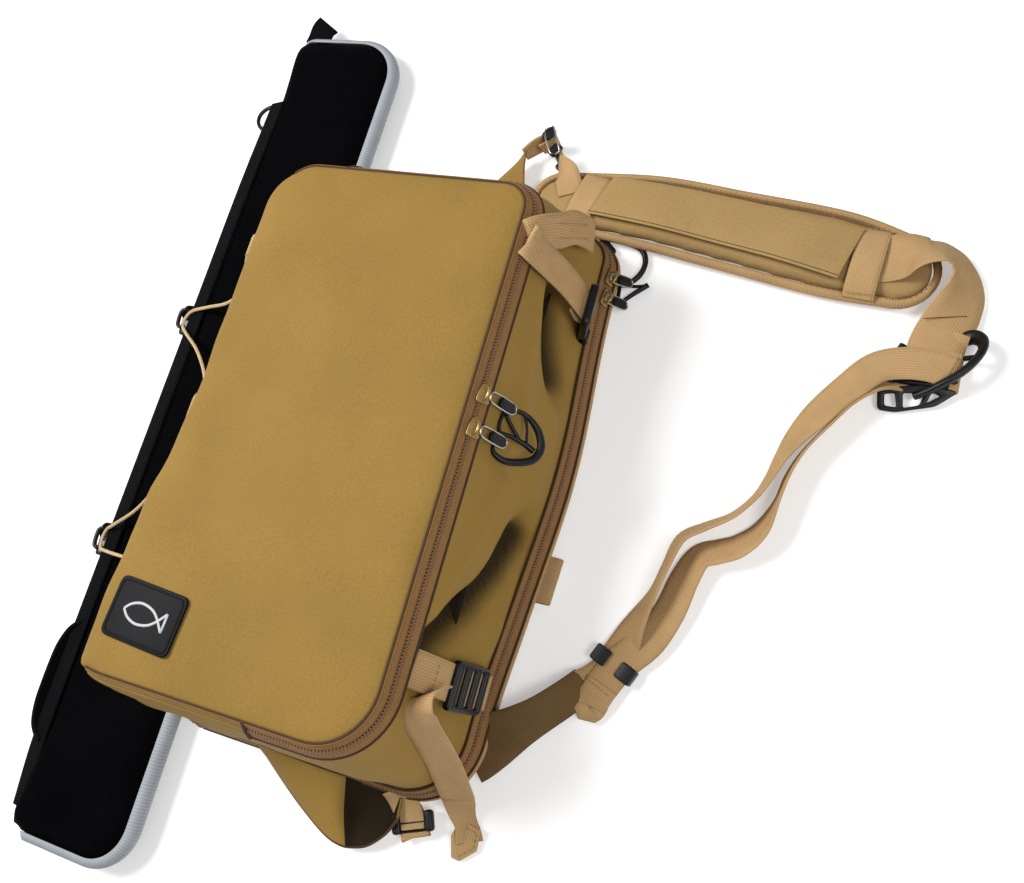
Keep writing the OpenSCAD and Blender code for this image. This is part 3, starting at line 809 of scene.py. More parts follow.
def gusset():
    """The sagging side wall between the two zips, with its folds on the strap side and painted shade in their
    deep valleys.
    """
    shape = Shape("folded", "seam")
    rows = 30
    rings = []
    for i in range(rows + 1):
        t = i / rows
        z = 33.4 + (138.2 - 33.4) * t
        held = math.sin(math.pi * t) ** 0.6
        row = []
        for b, f in zip(BACK, FRONT):
            x, y = b[0] + (f[0] - b[0]) * t, b[1] + (f[1] - b[1]) * t
            n = Vector((b[2] + f[2], b[3] + f[3])).normalized()
            out = 0.8 + 4.6 * t + 3.0 * held * math.sin(math.pi * t)
            out += held * (2.4 * wrinkle(x + y, z * 1.4, 46, 1.7) + 1.0 * wrinkle(x + y, z, 19, 6.1))
            out += held * max(n.x, 0) ** 2 * side_folds(y, z) * smoothstep(215, 180, abs(y))
            row.append(Vector((x + n.x * out, y + n.y * out, z)))
        rings.append(row)
    loft(shape, rings, "folded", caps=False)
    obj = shape.make("side_gusset", None, "mid_gusset")
    # Painted shade: "shade" falls toward 0.05 in the deep fold valleys on the strap side
    shade = obj.data.attributes.new("shade", "FLOAT", "POINT")
    for v, spot in zip(obj.data.vertices, shade.data):
        x, y, z = v.co / MM
        deep = -side_folds(y, z) if x > 88 else 0.0
        spot.value = 1 - 0.95 * smoothstep(4, 19, deep)
    modifier(obj, "SOLIDIFY", thickness=0.0012, offset=-1)
    modifier(obj, "SMOOTH", factor=0.4, iterations=1)
    bake(obj)
    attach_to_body(obj, "front_section")


def divider():
    """Cloth wall between the two compartments, dipping a little in the middle."""
    shape = Shape("lining")
    line = outline(-112, 104, -203, 202, (12, 42, 20, 14), (14, 24, 14, 24), 6)
    rows = []
    for s, z in ((0.05, 76.2), (0.4, 76.6), (0.7, 77.2), (0.97, 78.0), (1.0, 78.2), (1.0, 80.2),
                 (0.97, 80.4), (0.7, 78.8), (0.4, 78.0), (0.05, 77.6)):
        rows.append([Vector((p[0] * s, p[1] * s, z)) for p in line])
    loft(shape, rows, "lining")
    shape.make("divider", "front_section")


def main_zip():
    """The main zip round the back edge: front half, rear half, coil turns and dark lines along its seams in
    the seam-shadow colour, painted shade.
    """
    first = next(i for i, p in enumerate(BACK) if p[2] > -0.7)
    last = max(i for i, p in enumerate(BACK) if p[2] > -0.7)
    line = BACK[first:last + 1]
    front = Shape("tape", "coil", "seam")
    strip(front, line, (1.4, 34.6), (4.6, 26.6), "tape", curl=0.8)
    teeth(front, line, (4.9, 26.8), (0.35, -0.9), phase=1.15)
    tube(front, ring(line, 1.9, 34.6), 0.9, "seam", sides=6)
    front.make("main_zip_front_half", "front_section")
    rear = Shape("tape", "coil", "seam")
    strip(rear, line, (4.9, 25.2), (7.6, 15.0), "tape", curl=0.8)
    teeth(rear, line, (5.5, 24.8), (0.35, -0.9))
    tube(rear, ring(line, 8.2, 14.6), 0.9, "seam", sides=6)
    rear.make("main_zip_rear_half", "back_section")


# ---------- back section ----------
def rear_gusset():
    """The short wall behind the main zip and its edge binding."""
    wall = Shape("bag")
    rings = [ring(BACK, o, z) for o, z in ((6.6, 15.6), (7.4, 11), (6.6, 6), (5.4, 6), (5.9, 11),
                                           (5.2, 15.6))]
    loft(wall, rings, "bag", caps=False, close_rows=True)
    wall.make("rear_gusset", "back_section")
    edge = Shape("web")
    tube(edge, ring(BACK, 7.6, 9.4), 2.3, "web", sides=10, closed=True)
    edge.make("rear_binding", "back_section")


def back_panel():
    """Padded back of the bag, flat where it rests, with sewn channels across it."""
    shape = Shape("bag", "pad_mesh")
    rows = [ring(BACK, o, z) for o, z in ((-9, 11.6), (3.8, 11.2), (6.0, 7.6), (4.6, 3.0),
                                          (1.0, 1.0), (-6.0, 0.4))]
    loft(shape, rows, "bag", caps=False)
    edge = ring(BACK, -6.0, 0)
    rows = []
    for i in range(27):
        s = 1 - 0.955 * (i / 26)
        row = []
        for p in edge:
            q = p * s
            channel = 0.5 + 0.5 * math.cos(q.y / 62.0 * 2 * math.pi)
            middle = math.exp(-(q.x / 9.0) ** 2)
            lift = 3.4 * max(channel ** 12, middle) * smoothstep(1.0, 0.86, s)
            row.append(Vector((q.x, q.y, 0.4 + lift)))
        rows.append(row)
    loft(shape, rows, "pad_mesh", caps=False)
    n = len(BACK)
    shape.add(rows[-1], [list(range(n))], "pad_mesh")
    top = ring(BACK, -9, 11.6)
    shape.add(top, [list(range(n))], "bag")
    obj = shape.make("back_panel", None)
    tidy(obj.data, WELD)
    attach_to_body(obj, "back_section")


def back_board():
    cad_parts["back_board"].data.materials.clear()
    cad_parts["back_board"].data.materials.append(M["plastic"])


def side_loop():
    shape = Shape("web")
    route = [[124, -50, 8.8, 0], [133, -50, 8.9, 0], [140, -50, 8.2, 0], [143, -50, 5.4, 0],
             [140, -50, 2.4, 0], [133, -50, 1.5, 0], [124, -50, 1.6, 0]]
    band(shape, route, 36, 1.4, wide=(0.05, 1, 0))
    shape.make("side_loop", "back_section")


# ---------- wings ----------
def on_floor(obj):
    """Lifts whatever dips below the floor."""
    for v in obj.data.vertices:
        v.co.z = max(v.co.z, 0.0)


def wing_sheet(name, rows, mat, lined_from=None):
    """A cloth wing lofted between two edges, each row a list of points across it."""
    shape = Shape(mat, "seam")
    fine = [spline(row, 6) for row in rows]
    fine = list(zip(*[spline(col, 6) for col in zip(*fine)]))
    grid = [[Vector(p) for p in row] for row in fine]
    verts = [p for row in grid for p in row]
    shape.add(verts, grid_faces(len(grid), len(grid[0]), closed=False), mat)
    obj = shape.make(name, None)
    across, count = len(grid[0]) - 1, len(obj.data.polygons)
    modifier(obj, "SOLIDIFY", thickness=0.0022, offset=0)
    bake(obj)
    on_floor(obj)
    if lined_from is not None:
        obj.data.materials.append(M["lining"])
        for face in obj.data.polygons[:2 * count]:
            if face.index % across >= lined_from and face.normal.z > 0:
                face.material_index = len(obj.data.materials) - 1
    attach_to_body(obj, "back_section")


def top_wing():
    rows = [[(-40, 226, 7), (-24, 248, 7), (-8, 270, 8), (6, 290, 8), (16, 304, 9)],
            [(4, 226, 16), (8, 250, 17), (12, 272, 16), (16, 290, 15), (19, 306, 15)],
            [(44, 226, 8), (37, 246, 12), (30, 266, 16), (24, 286, 18), (21, 304, 20)]]
    wing_sheet("top_wing", rows, "bag")


def bottom_wing():
    """Tan outside on the left, then a dark-lined pocket mouth that opens upward."""
    attach = [(-56, -225, 16), (-24, -225.4, 26), (6, -225.6, 30), (28, -225.8, 30),
              (38, -226, 17), (54, -226, 7), (69, -227, 10), (76, -229, 17)]
    middle = [(-52, -228, 12), (-18, -238, 20), (12, -249, 23), (31, -252, 22),
              (41, -251, 8), (55, -250, 4), (68, -244, 8), (76, -236, 16)]
    outer = [(-48, -232, 7), (-12, -254, 9), (20, -270, 11), (37, -274, 12),
             (47, -273, 8), (58, -268, 9), (70, -256, 13), (77, -243, 17)]
    wing_sheet("bottom_wing", [attach, middle, outer], "bag",
               lined_from=20)
    rim = Shape("seam")
    line = [Vector(p) + UP * 0.8 for p in spline(outer, 6)]
    tube(rim, line, 0.9, "seam", sides=6)
    rim.make("bottom_wing_rim", "back_section")


def corner_wing():
    """Wide strap sewn into the lower corner, narrowing and turning up to the adjuster; its dark colour is a
    shaded copy of the strap webbing, painted shade.
    """
    shape = Shape("web_painted_shade")
    route = [[113, -187, 8, 0, 44], [119, -181, 8.6, 4, 44], [131, -170, 11, 18, 40], [146, -157, 13, 34, 34],
             [162, -142, 13, 42, 31], [176, -126, 9.5, 30, 27], [184, -116, 6.2, 12, 25.5]]
    band(shape, route, WEB, WEB_T, "web_painted_shade")
    shape.make("corner_wing", "back_section")


# ---------- shoulder strap ----------
PAD_LINE = [(62, 264, 26), (140, 261.5, 32.5), (210, 252.5, 34.5), (290, 241.5, 36), (338, 233, 30)]


def pad_outline(grow, count=22):
    """The pad's outline in plan: both sides of its middle line, with round ends."""
    line = spline(PAD_LINE, count // 2)
    ahead = headings([Vector((p[0], p[1], 0)) for p in line])
    left, right = [], []
    for p, d in zip(line, ahead):
        side = Vector((-d.y, d.x, 0)) * (p[2] + grow)
        left.append(Vector((p[0], p[1], 0)) + side)
        right.append(Vector((p[0], p[1], 0)) - side)

    def cap(p, d):
        start = math.atan2(-d.x, d.y)
        return [Vector((p[0], p[1], 0)) + Vector((math.cos(start + math.pi * i / 16),
                math.sin(start + math.pi * i / 16), 0)) * (p[2] + grow) for i in range(1, 16)]

    return right + cap(line[-1], ahead[-1]) + left[::-1] + cap(line[0], -ahead[0])


def shoulder_pad():
    """The foam-filled strap pad, swollen by cloth pressure, and its ribbed edge binding."""
    shape = Shape("bag")
    outer, inner = pad_outline(-4.5), pad_outline(-9)
    rows = [[p + UP * z for p in line] for line, z in
            ((inner, 4.6), (outer, 6.6), (outer, 15.0), (inner, 17.6))]
    loft(shape, rows, "bag")
    obj = shape.make("shoulder_pad", None)
    inflate(obj, 0.004, 0.0045, floor=0.0026)
    obj.data.materials.clear()
    obj.data.materials.append(M["pad"])
    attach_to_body(obj, "back_section")
    edge = Shape("web", "stitch")
    rim = pad_outline(-1.6)
    profile = [(1.9, 0), (1.2, 3.2), (-3.4, 4.4), (-3.8, 3.4), (-3.8, -3.4), (-3.4, -4.4),
               (1.2, -3.2)]
    verts, uvs, along = [], [], 0.0
    for i, p in enumerate(rim):
        ahead = (rim[(i + 1) % len(rim)] - rim[i - 1]).normalized()
        out = Vector((ahead.y, -ahead.x, 0))
        along += (p - rim[i - 1]).length
        for a, b in profile:
            verts.append(p + out * a + UP * (11.2 + b))
            uvs.append((along * 0.9, (a - b) * 2))
    edge.skin(verts, len(profile), "web", uvs, loop=True)
    line = [p + UP * 15.2 for p in pad_outline(-4.6)]
    stitch_row(edge, line, (0, 0, 0.4))
    edge.make("pad_binding", "back_section")


def pad_top(y_low, y_high, x_low, x_high, share):
    """A point across the pad's top, domed a little above the foam."""
    dome = 4 * share * (1 - share)
    return [x_low + (x_high - x_low) * share, y_low + (y_high - y_low) * share, 19.8 + 4.2 * dome]


def pad_strips():
    for name, low, high in (("pad_strip_left", (82, 237), (94.5, 287)),
                            ("pad_strip_right", (314, 205), (318, 262))):
        shape = Shape("web", "stitch")
        route = [pad_top(low[1], high[1], low[0], high[0], s) + [0]
                 for s in (0, 0.12, 0.35, 0.65, 0.88, 1)]
        route[0][2], route[-1][2] = 15.5, 15.5
        band(shape, route, 23, 1.5)
        for s in (0.03, 0.97):
            p = Vector(pad_top(low[1], high[1], low[0], high[0], s))
            stitch_row(shape, [p - Vector((10.5, 0, 0)), p + Vector((10.5, 0, 0))], (0, 0, 0.9))
        shape.make(name, "back_section")


def pad_flap():
    """The cover flap over the pad, held along its far edge, with a sewn hem."""
    shape = Shape("pad", "seam")
    far = [(107, 284), (160, 280), (215, 273), (262, 266), (310, 258)]
    near = [(95, 247), (150, 241), (205, 232), (252, 224), (298, 214)]
    rows = []
    for i in range(9):
        s = i / 8
        row = []
        for (fx, fy), (nx, ny) in zip(far, near):
            z = 21.4 + 3.8 * math.sin(math.pi * (0.15 + 0.5 * s)) + 1.6 * s
            z += 0.8 * wrinkle(fx, 100 * s, 60, 4.4) * s
            row.append([fx + (nx - fx) * s, fy + (ny - fy) * s, z])
        rows.append(spline(row, 6))
    verts = [p for row in rows for p in row]
    shape.add(verts, grid_faces(len(rows), len(rows[0]), closed=False), "pad")
    obj = shape.make("pad_flap", None)
    modifier(obj, "SOLIDIFY", thickness=0.0018, offset=0)
    modifier(obj, "BEVEL", width=0.0005, segments=2)
    bake(obj)
    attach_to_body(obj, "flap")
    # The hem line is a real hem coloured seam-shadow dark: partly painted shade along the flap's free edge
    hem = Shape("seam")
    border = [Vector(p) for p in rows[-1]]
    tube(hem, [p + Vector((0, 2.2, 1.0)) for p in border], 0.35, "seam", sides=5)
    hem.make("pad_flap_hem", "flap")


def top_links():
    """Webbing either side of the top tri-glide."""
    shape = Shape("web", "stitch")
    band(shape, [[19, 303, 15, 70, 12], [28, 312, 15, 78, 17], [37, 318.5, 15.6, 88, 19],
                 [41, 322.4, 16, 92, 20], [45, 320.6, 16, 90, 20], [45.2, 316, 16, 90, 19],
                 [41, 313.2, 15.4, 86, 18], [33, 309.5, 14.6, 80, 17]], 19, 1.4)
    shape.make("top_wing_webbing", "back_section")
    shape = Shape("web", "stitch")
    band(shape, [[47.6, 306, 15, 90, 18], [49.5, 307.2, 15, 90, 19], [53.6, 305.6, 15, 90, 20],
                 [54.4, 301, 15, 90, 20], [53.6, 295, 16, 74, 20], [58.6, 289.6, 20, 40, 21],
                 [64.6, 283.5, 22.6, 14, 22], [69.5, 275, 22, 2, 22], [73, 266, 20.8, 0, 22]],
         22, 1.5)
    shape.make("pad_link_webbing", "back_section")


def top_glide():
    """Black tri-glide seen from its edge, with its steel wire loop."""
    shape = Shape("plastic", "wire")
    for x, y in ((41, 318), (50.5, 302.5)):
        lumps = [[x, y, z] for z in (1.4, 2.6, 8, 15, 22, 27.4, 28.8)]
        tube(shape, spline(lumps, 3), [1.6] * 3 + [2.6] * 13 + [1.8] * 3, "plastic", sides=12)
        plate(shape, [box_loop(9, 12, radius=3.4)], 4.6, place(x, y, 26.6, rz=-32), "plastic", 1.6)
        plate(shape, [box_loop(9, 11, radius=3.4)], 3.6, place(x, y, 2.9, rz=-32), "plastic", 1.4)
    wire = [(37, 321, 27.5), (43, 324, 28.6), (47, 318, 29.2), (53, 306, 29), (55, 301, 28.2),
            (51, 297.6, 27.6), (46.6, 300, 28.4), (40, 312, 29)]
    path = spline(wire + [wire[0]], 5)[:-1]
    tube(shape, path, 0.85, "wire", sides=8, closed=True)
    shape.make("top_triglide", "top_glide")


PAD_END = [[318, 236, 19.4, 0], [330, 237.4, 20.6, 0], [341, 240, 23.4, -6], [350, 242, 27, -25],
           [359, 243.5, 28.5, -38], [368, 244.5, 26, -45], [377, 241, 22, -52],
           [384, 232, 18.5, -54], [386, 220, 16, -45], [383, 207, 13.5, -32],
           [378, 194, 10.4, -16], [374.5, 184, 9.6, -3], [373, 177, 10.6, 0],
           [372.8, 171.5, 11.6, 0], [372.8, 167.6, 8.6, 0], [373, 169, 5, 0], [373.6, 176, 4.2, 0],
           [375, 186, 5.6, -6], [377.6, 194, 7.6, -16]]


def pad_end_webbing():
    """Wide webbing that twists off the pad's end and folds round the buckle bar."""
    shape = Shape("web", "seam")
    band(shape, PAD_END, WIDE_WEB, 1.7)
    # A dark line along the fold in the seam-shadow colour: painted shade in the fold
    fold = [Vector((361.5, 195.4, 15.6)), Vector((379, 200, 13.8)), Vector((396, 206, 7.4))]
    stitch_row(shape, fold, (0, 0, 0.5), mat="seam", length=30, gap=1)
    shape.make("pad_end_webbing", "back_section")


def quick_buckle():
    """The cam buckle: a thick bowed arm, two bars and a vented tab."""
    shape = Shape("plastic")
    arm = [[384, 179, 4], [390, 187, 5.4], [397, 189, 9], [402.6, 184, 14], [402.6, 175, 17.6],
           [397.4, 164, 18.6], [390, 155, 18], [382, 148.6, 15.6], [373, 143, 10.6], [365, 139, 7]]
    tube(shape, spline(arm, 5), 5.4, "plastic", sides=14, flat=0.55)
    other = [[352, 176, 9], [349, 168, 8.6], [347, 156, 8], [348, 144, 6.4]]
    tube(shape, spline(other, 4), 3.4, "plastic", sides=12, flat=0.7)
    tube(shape, [(350, 172.2, 7.5), (360, 172.2, 7.5), (392, 172.2, 7.5), (402, 173, 13)], 2.0,
         "plastic")
    tube(shape, [(348, 149, 7.4), (360, 149, 7.4), (384, 149, 8.4), (390, 152, 15)], 2.2, "plastic")
    outline_loop = rounded([(-27, -9), (-15, -11), (12, -7), (27, 3), (24, 10), (-10, 8), (-27, 6)],
                           3.5)
    holes = [rounded([(-22, -6), (-14, -7.4), (-15, 3), (-22, 2.4)], 1.6),
             rounded([(-9.5, -7.8), (1, -6), (5, 2.2), (-9.5, 3)], 1.6),
             rounded([(6, -4.4), (15, 0.4), (10, 3.4)], 1.0)]
    plate(shape, [outline_loop] + holes, 4.4, place(367, 139.4, 5, rx=14, rz=10), "plastic", 1.1)
    shape.make("quick_buckle", "back_section")


STRAND_A = [[386, 158, 13.6, 0], [372, 161, 14, 0], [354, 160, 14.4, 0], [336, 153, 15, -6],
            [320, 134, 16, -14], [304, 112, 16, -24], [292, 92, 15, -44], [285, 76, 14, -60],
            [280, 60, 13.4, -68], [273, 43, 13.2, -70], [260, 26, 13.2, -68],
            [243, 14, 13.2, -64], [228, 2, 13.2, -62], [222, -20, 13.2, -66],
            [217, -42, 12.4, -64], [209, -66, 8.6, -38], [205, -80, 5, -12], [202, -89, 4, 0],
            [198, -97, 4, 0], [194, -106, 4, 4], [187, -114, 4.8, 8], [181, -119, 6.4, 16]]
STRAND_B = [[386, 158, 1.6, 0], [366, 156, 1.6, -4], [342, 147, 7, -30], [326, 125, 12.4, -72],
            [311, 103, 13.2, -74], [299, 83, 13.2, -75], [292, 64, 13.2, -75],
            [288, 43, 13, -74], [281, 20, 12, -52], [269, 6, 9.6, -38], [256, -1, 8.6, -34],
            [243, -8, 8.2, -32], [236, -26, 7.6, -22], [231, -50, 7, -12], [222, -74, 7, -2],
            [210, -90, 7, 0], [204, -97, 6.9, 0], [200, -106, 6.9, 0], [195.4, -116, 6.6, 0],
            [191, -127, 5.4, 0]]


def adjuster():
    """The long adjuster webbing: both strands, the turn in the buckle and the stitched end."""
    shape = Shape("web", "stitch")
    turn = [[386 + 6.2 * math.sin(math.radians(a)), 158, 7.6 + 6.0 * math.cos(math.radians(a)), 0]
            for a in (30, 60, 90, 120, 150)]
    for strand in (STRAND_A, STRAND_B):
        band(shape, strand[::-1], WEB, 1.5)
    band(shape, [STRAND_A[0]] + turn + [STRAND_B[0]], WEB, 1.5, wide=(0, 1, 0), steps=3)
    band(shape, [[196.4, -113, 8.5, 0], [193.6, -121, 7.9, 0], [190.6, -129, 6.2, 0],
                 [191, -129.6, 4.6, 0], [192.4, -125, 4.4, 0]], WEB - 0.6, 1.4)
    p = Vector((195.4, -116.5, 9.4))
    across = Vector((10.6, -4.5, 0))
    stitch_row(shape, [p - across, p + across], (0, 0, 0.3))
    shape.make("adjuster_webbing", "back_section")


def keeper():
    """The two-clawed keeper that holds the strands together."""
    shape = Shape("plastic")
    lay = place(200.8, -97.4, 0, rz=-23)
    plate(shape, [box_loop(34, 11.5, radius=2.2)], 1.8, lay @ place(0, 0, 1.9), "plastic", 0.6)
    for s in (-1, 1):
        plate(shape, [box_loop(4.2, 12, radius=1.4)], 9.0, lay @ place(s * 15.6, 0, 5.6), "plastic",
              1.2)
        plate(shape, [box_loop(12.5, 12.6, radius=2.0)], 2.2, lay @ place(s * 11.2, 0, 9.6),
              "plastic", 0.8)
    shape.make("strap_keeper", "keeper")


# ---------- compression straps ----------
def upper_strap():
    """The folded upper compression strap and its hook buckle on the strap side."""
    shape = Shape("web", "stitch")
    band(shape, [[124, 200, 78, 0], [122.4, 196.6, 91, 0], [119.4, 190, 109, 0],
                 [115.8, 178, 125, 0], [111.4, 168.4, 139, 0], [106, 162, 145.4, 0],
                 [103, 158.6, 145, 0]], WEB, 1.5, wide=(-0.15, 0.87, 0.48))
    band(shape, [[103.4, 157, 146.6, 0], [105.6, 155.4, 147.6, 0], [109.4, 153, 143.6, 0],
                 [114, 151.4, 134, 0], [118.6, 151, 119, 0], [122.6, 150.6, 104, 0],
                 [126.6, 149, 89, 0], [129.4, 147.4, 77, 0], [130.6, 146.6, 70, 0],
                 [128, 146.2, 66.6, 0], [124.8, 146.6, 71, 0], [123.6, 148, 82, 0]],
         WEB - 1, 1.5, wide=(0, 1, 0))
    for s in (-0.2, 0.2):
        rail = [Vector((122.4, 196.6, 91)), Vector((115.8, 178, 125)), Vector((106, 162, 145.4))]
        move = Vector((-0.15, 0.87, 0.48)) * (s * WEB)
        stitch_row(shape, [p + move for p in rail], (1.2, 0, 0.4))
    shape.make("upper_strap_webbing", "front_section")
    hook = Shape("plastic", "plastic_painted_highlight")
    lay = place(128.4, 146.5, 57, ry=109)
    plate(hook, [box_loop(46, 34, radius=5), box_loop(6, 26, x=-15.5, radius=1.5),
                 box_loop(9, 26, x=-3, radius=1.5)], 6.4, lay, "plastic", 1.8)
    plate(hook, [box_loop(18, 10, radius=4)], 9.6, lay @ place(16, -12, 0.6), "plastic", 2.2)
    # The grey patch is a painted highlight on the black hook
    plate(hook, [box_loop(16, 12, radius=2)], 2.4, lay @ place(6, 8, 2.6), "plastic_painted_highlight", 0.7)
    hook.make("upper_hook_buckle", "upper_hook")


def lower_strap():
    """The lower compression strap: sewn end, ladder buckle and the tail hanging over it."""
    shape = Shape("web", "stitch")
    band(shape, [[105, -137, 134, 0], [112, -138, 125, 0], [117, -139, 113, 0],
                 [120, -140, 100, 0], [121.6, -141, 84, 0], [123, -141, 66, 0],
                 [124.4, -141, 50, 0], [125, -141, 38, 0]], WEB, 1.6, wide=(0, 1, 0))
    p = Vector((115.4, -139, 119))
    stitch_row(shape, [p - Vector((0, 11, 0)), p + Vector((0, 11, 0))], (1.4, 0, 0.2))
    shape.make("lower_strap_webbing", "front_section")
    buckle = Shape("plastic")
    lay = place(123, -141, 76, ry=90 - 4)
    plate(buckle, [box_loop(52, 33, radius=4), box_loop(7, 25, x=-14, radius=1.5),
                   box_loop(7, 25, x=1, radius=1.5), box_loop(7, 25, x=16, radius=1.5)],
          5.2, lay, "plastic", 1.5)
    for x in (-20.5, -6.5, 8.5, 23):
        bar = [lay @ Vector((x, y, 1.6)) for y in (-14, -13, 0, 13, 14)]
        tube(buckle, bar, 2.3, "plastic", sides=9)
    buckle.make("lower_ladder_buckle", "front_section")
    tail = Shape("web", "seam", "stitch")
    band(tail, [[119.4, -147, 117, 0, 24], [117.6, -149.6, 125, 0, 25],
                [115.6, -154, 130, 0], [115.4, -162, 129, 0], [117, -171, 117, 0],
                [119.6, -181, 97, 0], [121.2, -193, 72, 0], [121, -205, 48, 0],
                [121, -216, 27, 0, 24]], 25, 1.5, wide=(0.82, 0.46, 0.34))
    twist = [[121, -216, 27, -8, 24], [122.6, -224, 16, -30, 20], [125, -231, 9.6, -46, 18],
             [128, -238, 6.4, -36, 19], [130, -244, 4.4, -20, 20]]
    band(tail, twist, 24, 1.5, wide=None)
    lay = place(126, -243, 5.6, rx=6, ry=14, rz=-26)
    plate(tail, [rounded([(-11, 9), (5, 13), (12, 0), (7, -14), (1, -16), (-9, -4)], 1.0)], 2.4, lay,
          "web", 0.6)
    rim = [lay @ Vector((x, y, 1.5)) for x, y in ((-8, 7), (4, 10), (9, 0), (4, -12))]
    stitch_row(tail, rim, (0, 0, 0.1))
    tail.make("lower_strap_tail", "front_section")


def bottom_links():
    shape = Shape("web")
    band(shape, [[70, -224.5, 20, 0], [75, -230, 14, 0], [81, -237, 11, 0], [88, -247, 9.6, 0],
                 [91, -252, 7.6, 0], [87, -247, 6.6, 0], [80, -238, 6.6, 0], [71, -243, 7, 0]],
         22, 1.5, wide=(0.93, 0.37, 0))
    shape.make("bottom_wing_webbing", "back_section")
    glide = Shape("plastic")
    lay = place(86.4, -243, 9, rz=22.5)
    plate(glide, [box_loop(31, 14, radius=3), box_loop(22, 3.4, y=3, radius=1.2),
                  box_loop(22, 3.4, y=-3, radius=1.2)], 4.0, lay, "plastic", 1.2)
    for s in (-1, 1):
        plate(glide, [box_loop(7, 15, radius=3)], 6.6, lay @ place(s * 12.6, 0, 0.6), "plastic", 2)
    glide.make("bottom_triglide", "bottom_glide")


# ---------- zip hardware ----------
def slider(name, body, at, lean):
    """A metal zip slider: two shield-shaped shells, a post and a crown for the pull."""
    shape = Shape("brass")
    lay = Matrix.Translation(at) @ Matrix.Rotation(math.radians(lean), 4, "Y")
    shield = rounded([(-5.2, -6.6), (5.2, -6.6), (4.6, 1), (2.6, 7), (-2.6, 7), (-4.6, 1)], 2.2)
    for z in (-1.9, 1.9):
        plate(shape, [shield], 1.3, lay @ place(0, 0, z), "brass", 0.4)
    plate(shape, [box_loop(2.4, 5, y=4, radius=0.8)], 3.6, lay, "brass", 0.3)
    crown = [(0, 5.4, 2.2), (0, 4.6, 5.4), (0, 1, 7.2), (0, -3, 6.2), (0, -4.6, 2.4)]
    tube(shape, [lay @ Vector(p) for p in spline(crown, 4)], 1.0, "brass", sides=8)
    shape.make(name, body)


def pull(name, body, axis, drop, long, width=7.6):
    """A wire loop pull with a moulded insert; drop is the way it hangs from its axis."""
    shape = Shape("wire", "plastic")
    axis, drop = Vector(axis), Vector(drop).normalized()
    side = Vector((0, 1, 0))
    side = (side - drop * side.dot(drop)).normalized()
    out = side.cross(drop)
    half = width / 2
    loop = [(-half * 0.55, -3.2), (-half, 0.5), (-half, long - 5), (-half * 0.6, long - 1),
            (0, long), (half * 0.6, long - 1), (half, long - 5), (half, 0.5), (half * 0.55, -3.2)]
    path = [axis + side * a + drop * b for a, b in spline(loop, 4)]
    tube(shape, path, 0.75, "wire", sides=8, closed=True)
    turn = Matrix((side, drop, out)).transposed().to_4x4()
    lay = Matrix.Translation(axis + drop * (long * 0.58)) @ turn
    plate(shape, [box_loop(width - 0.4, long * 0.66, radius=2.6)], 4.0, lay, "plastic", 1.3)
    shape.make(name, body)


def rod_loop(shape, points, lay, radius, flat=1.0, closed=True, steps=4):
    """A moulded rod through 2D points (x, y, radius share), placed by a matrix."""
    path = [(*p, 1.0)[:3] for p in points]
    if closed:
        fine = spline(path + [path[0]], steps)[:-1]
    else:
        fine = spline(path, steps)
    tube(shape, [lay @ Vector((p[0], p[1], 0)) for p in fine], [radius * p[2] for p in fine],
         "plastic", sides=10, closed=closed, flat=flat)


LEAF = [(-6, 4, 0.7), (-1, 8.4, 0.8), (9, 8.6, 0.9), (17, 4.4, 1.3), (23, -1.6, 1.5),
        (26.6, -11, 1.6), (22.4, -20.4, 1.5), (8, -26.4, 1.3), (-1.6, -25.6, 1.1),
        (-6.4, -21, 0.8), (-4.4, -12, 0.7), (-6.4, -4, 0.7)]
LEAF_ARMS = [[(-6.6, -9.6, 0.8), (4, -9.4, 0.9), (15, -11.4, 1.2), (22, -14, 1.4)],
             [(-4, 4, 0.8), (3, -3, 0.8), (9.6, -9.4, 0.9)],
             [(9, 8.4, 0.7), (13, 0, 0.6), (15.4, -10, 0.7)]]


def leaf_clip(name, body, lay):
    """The leaf-shaped keeper clip with its inner spring arms."""
    shape = Shape("plastic")
    rod_loop(shape, LEAF, lay, 1.9)
    for arm in LEAF_ARMS:
        rod_loop(shape, arm, lay, 1.7, closed=False)
    shape.make(name, body)


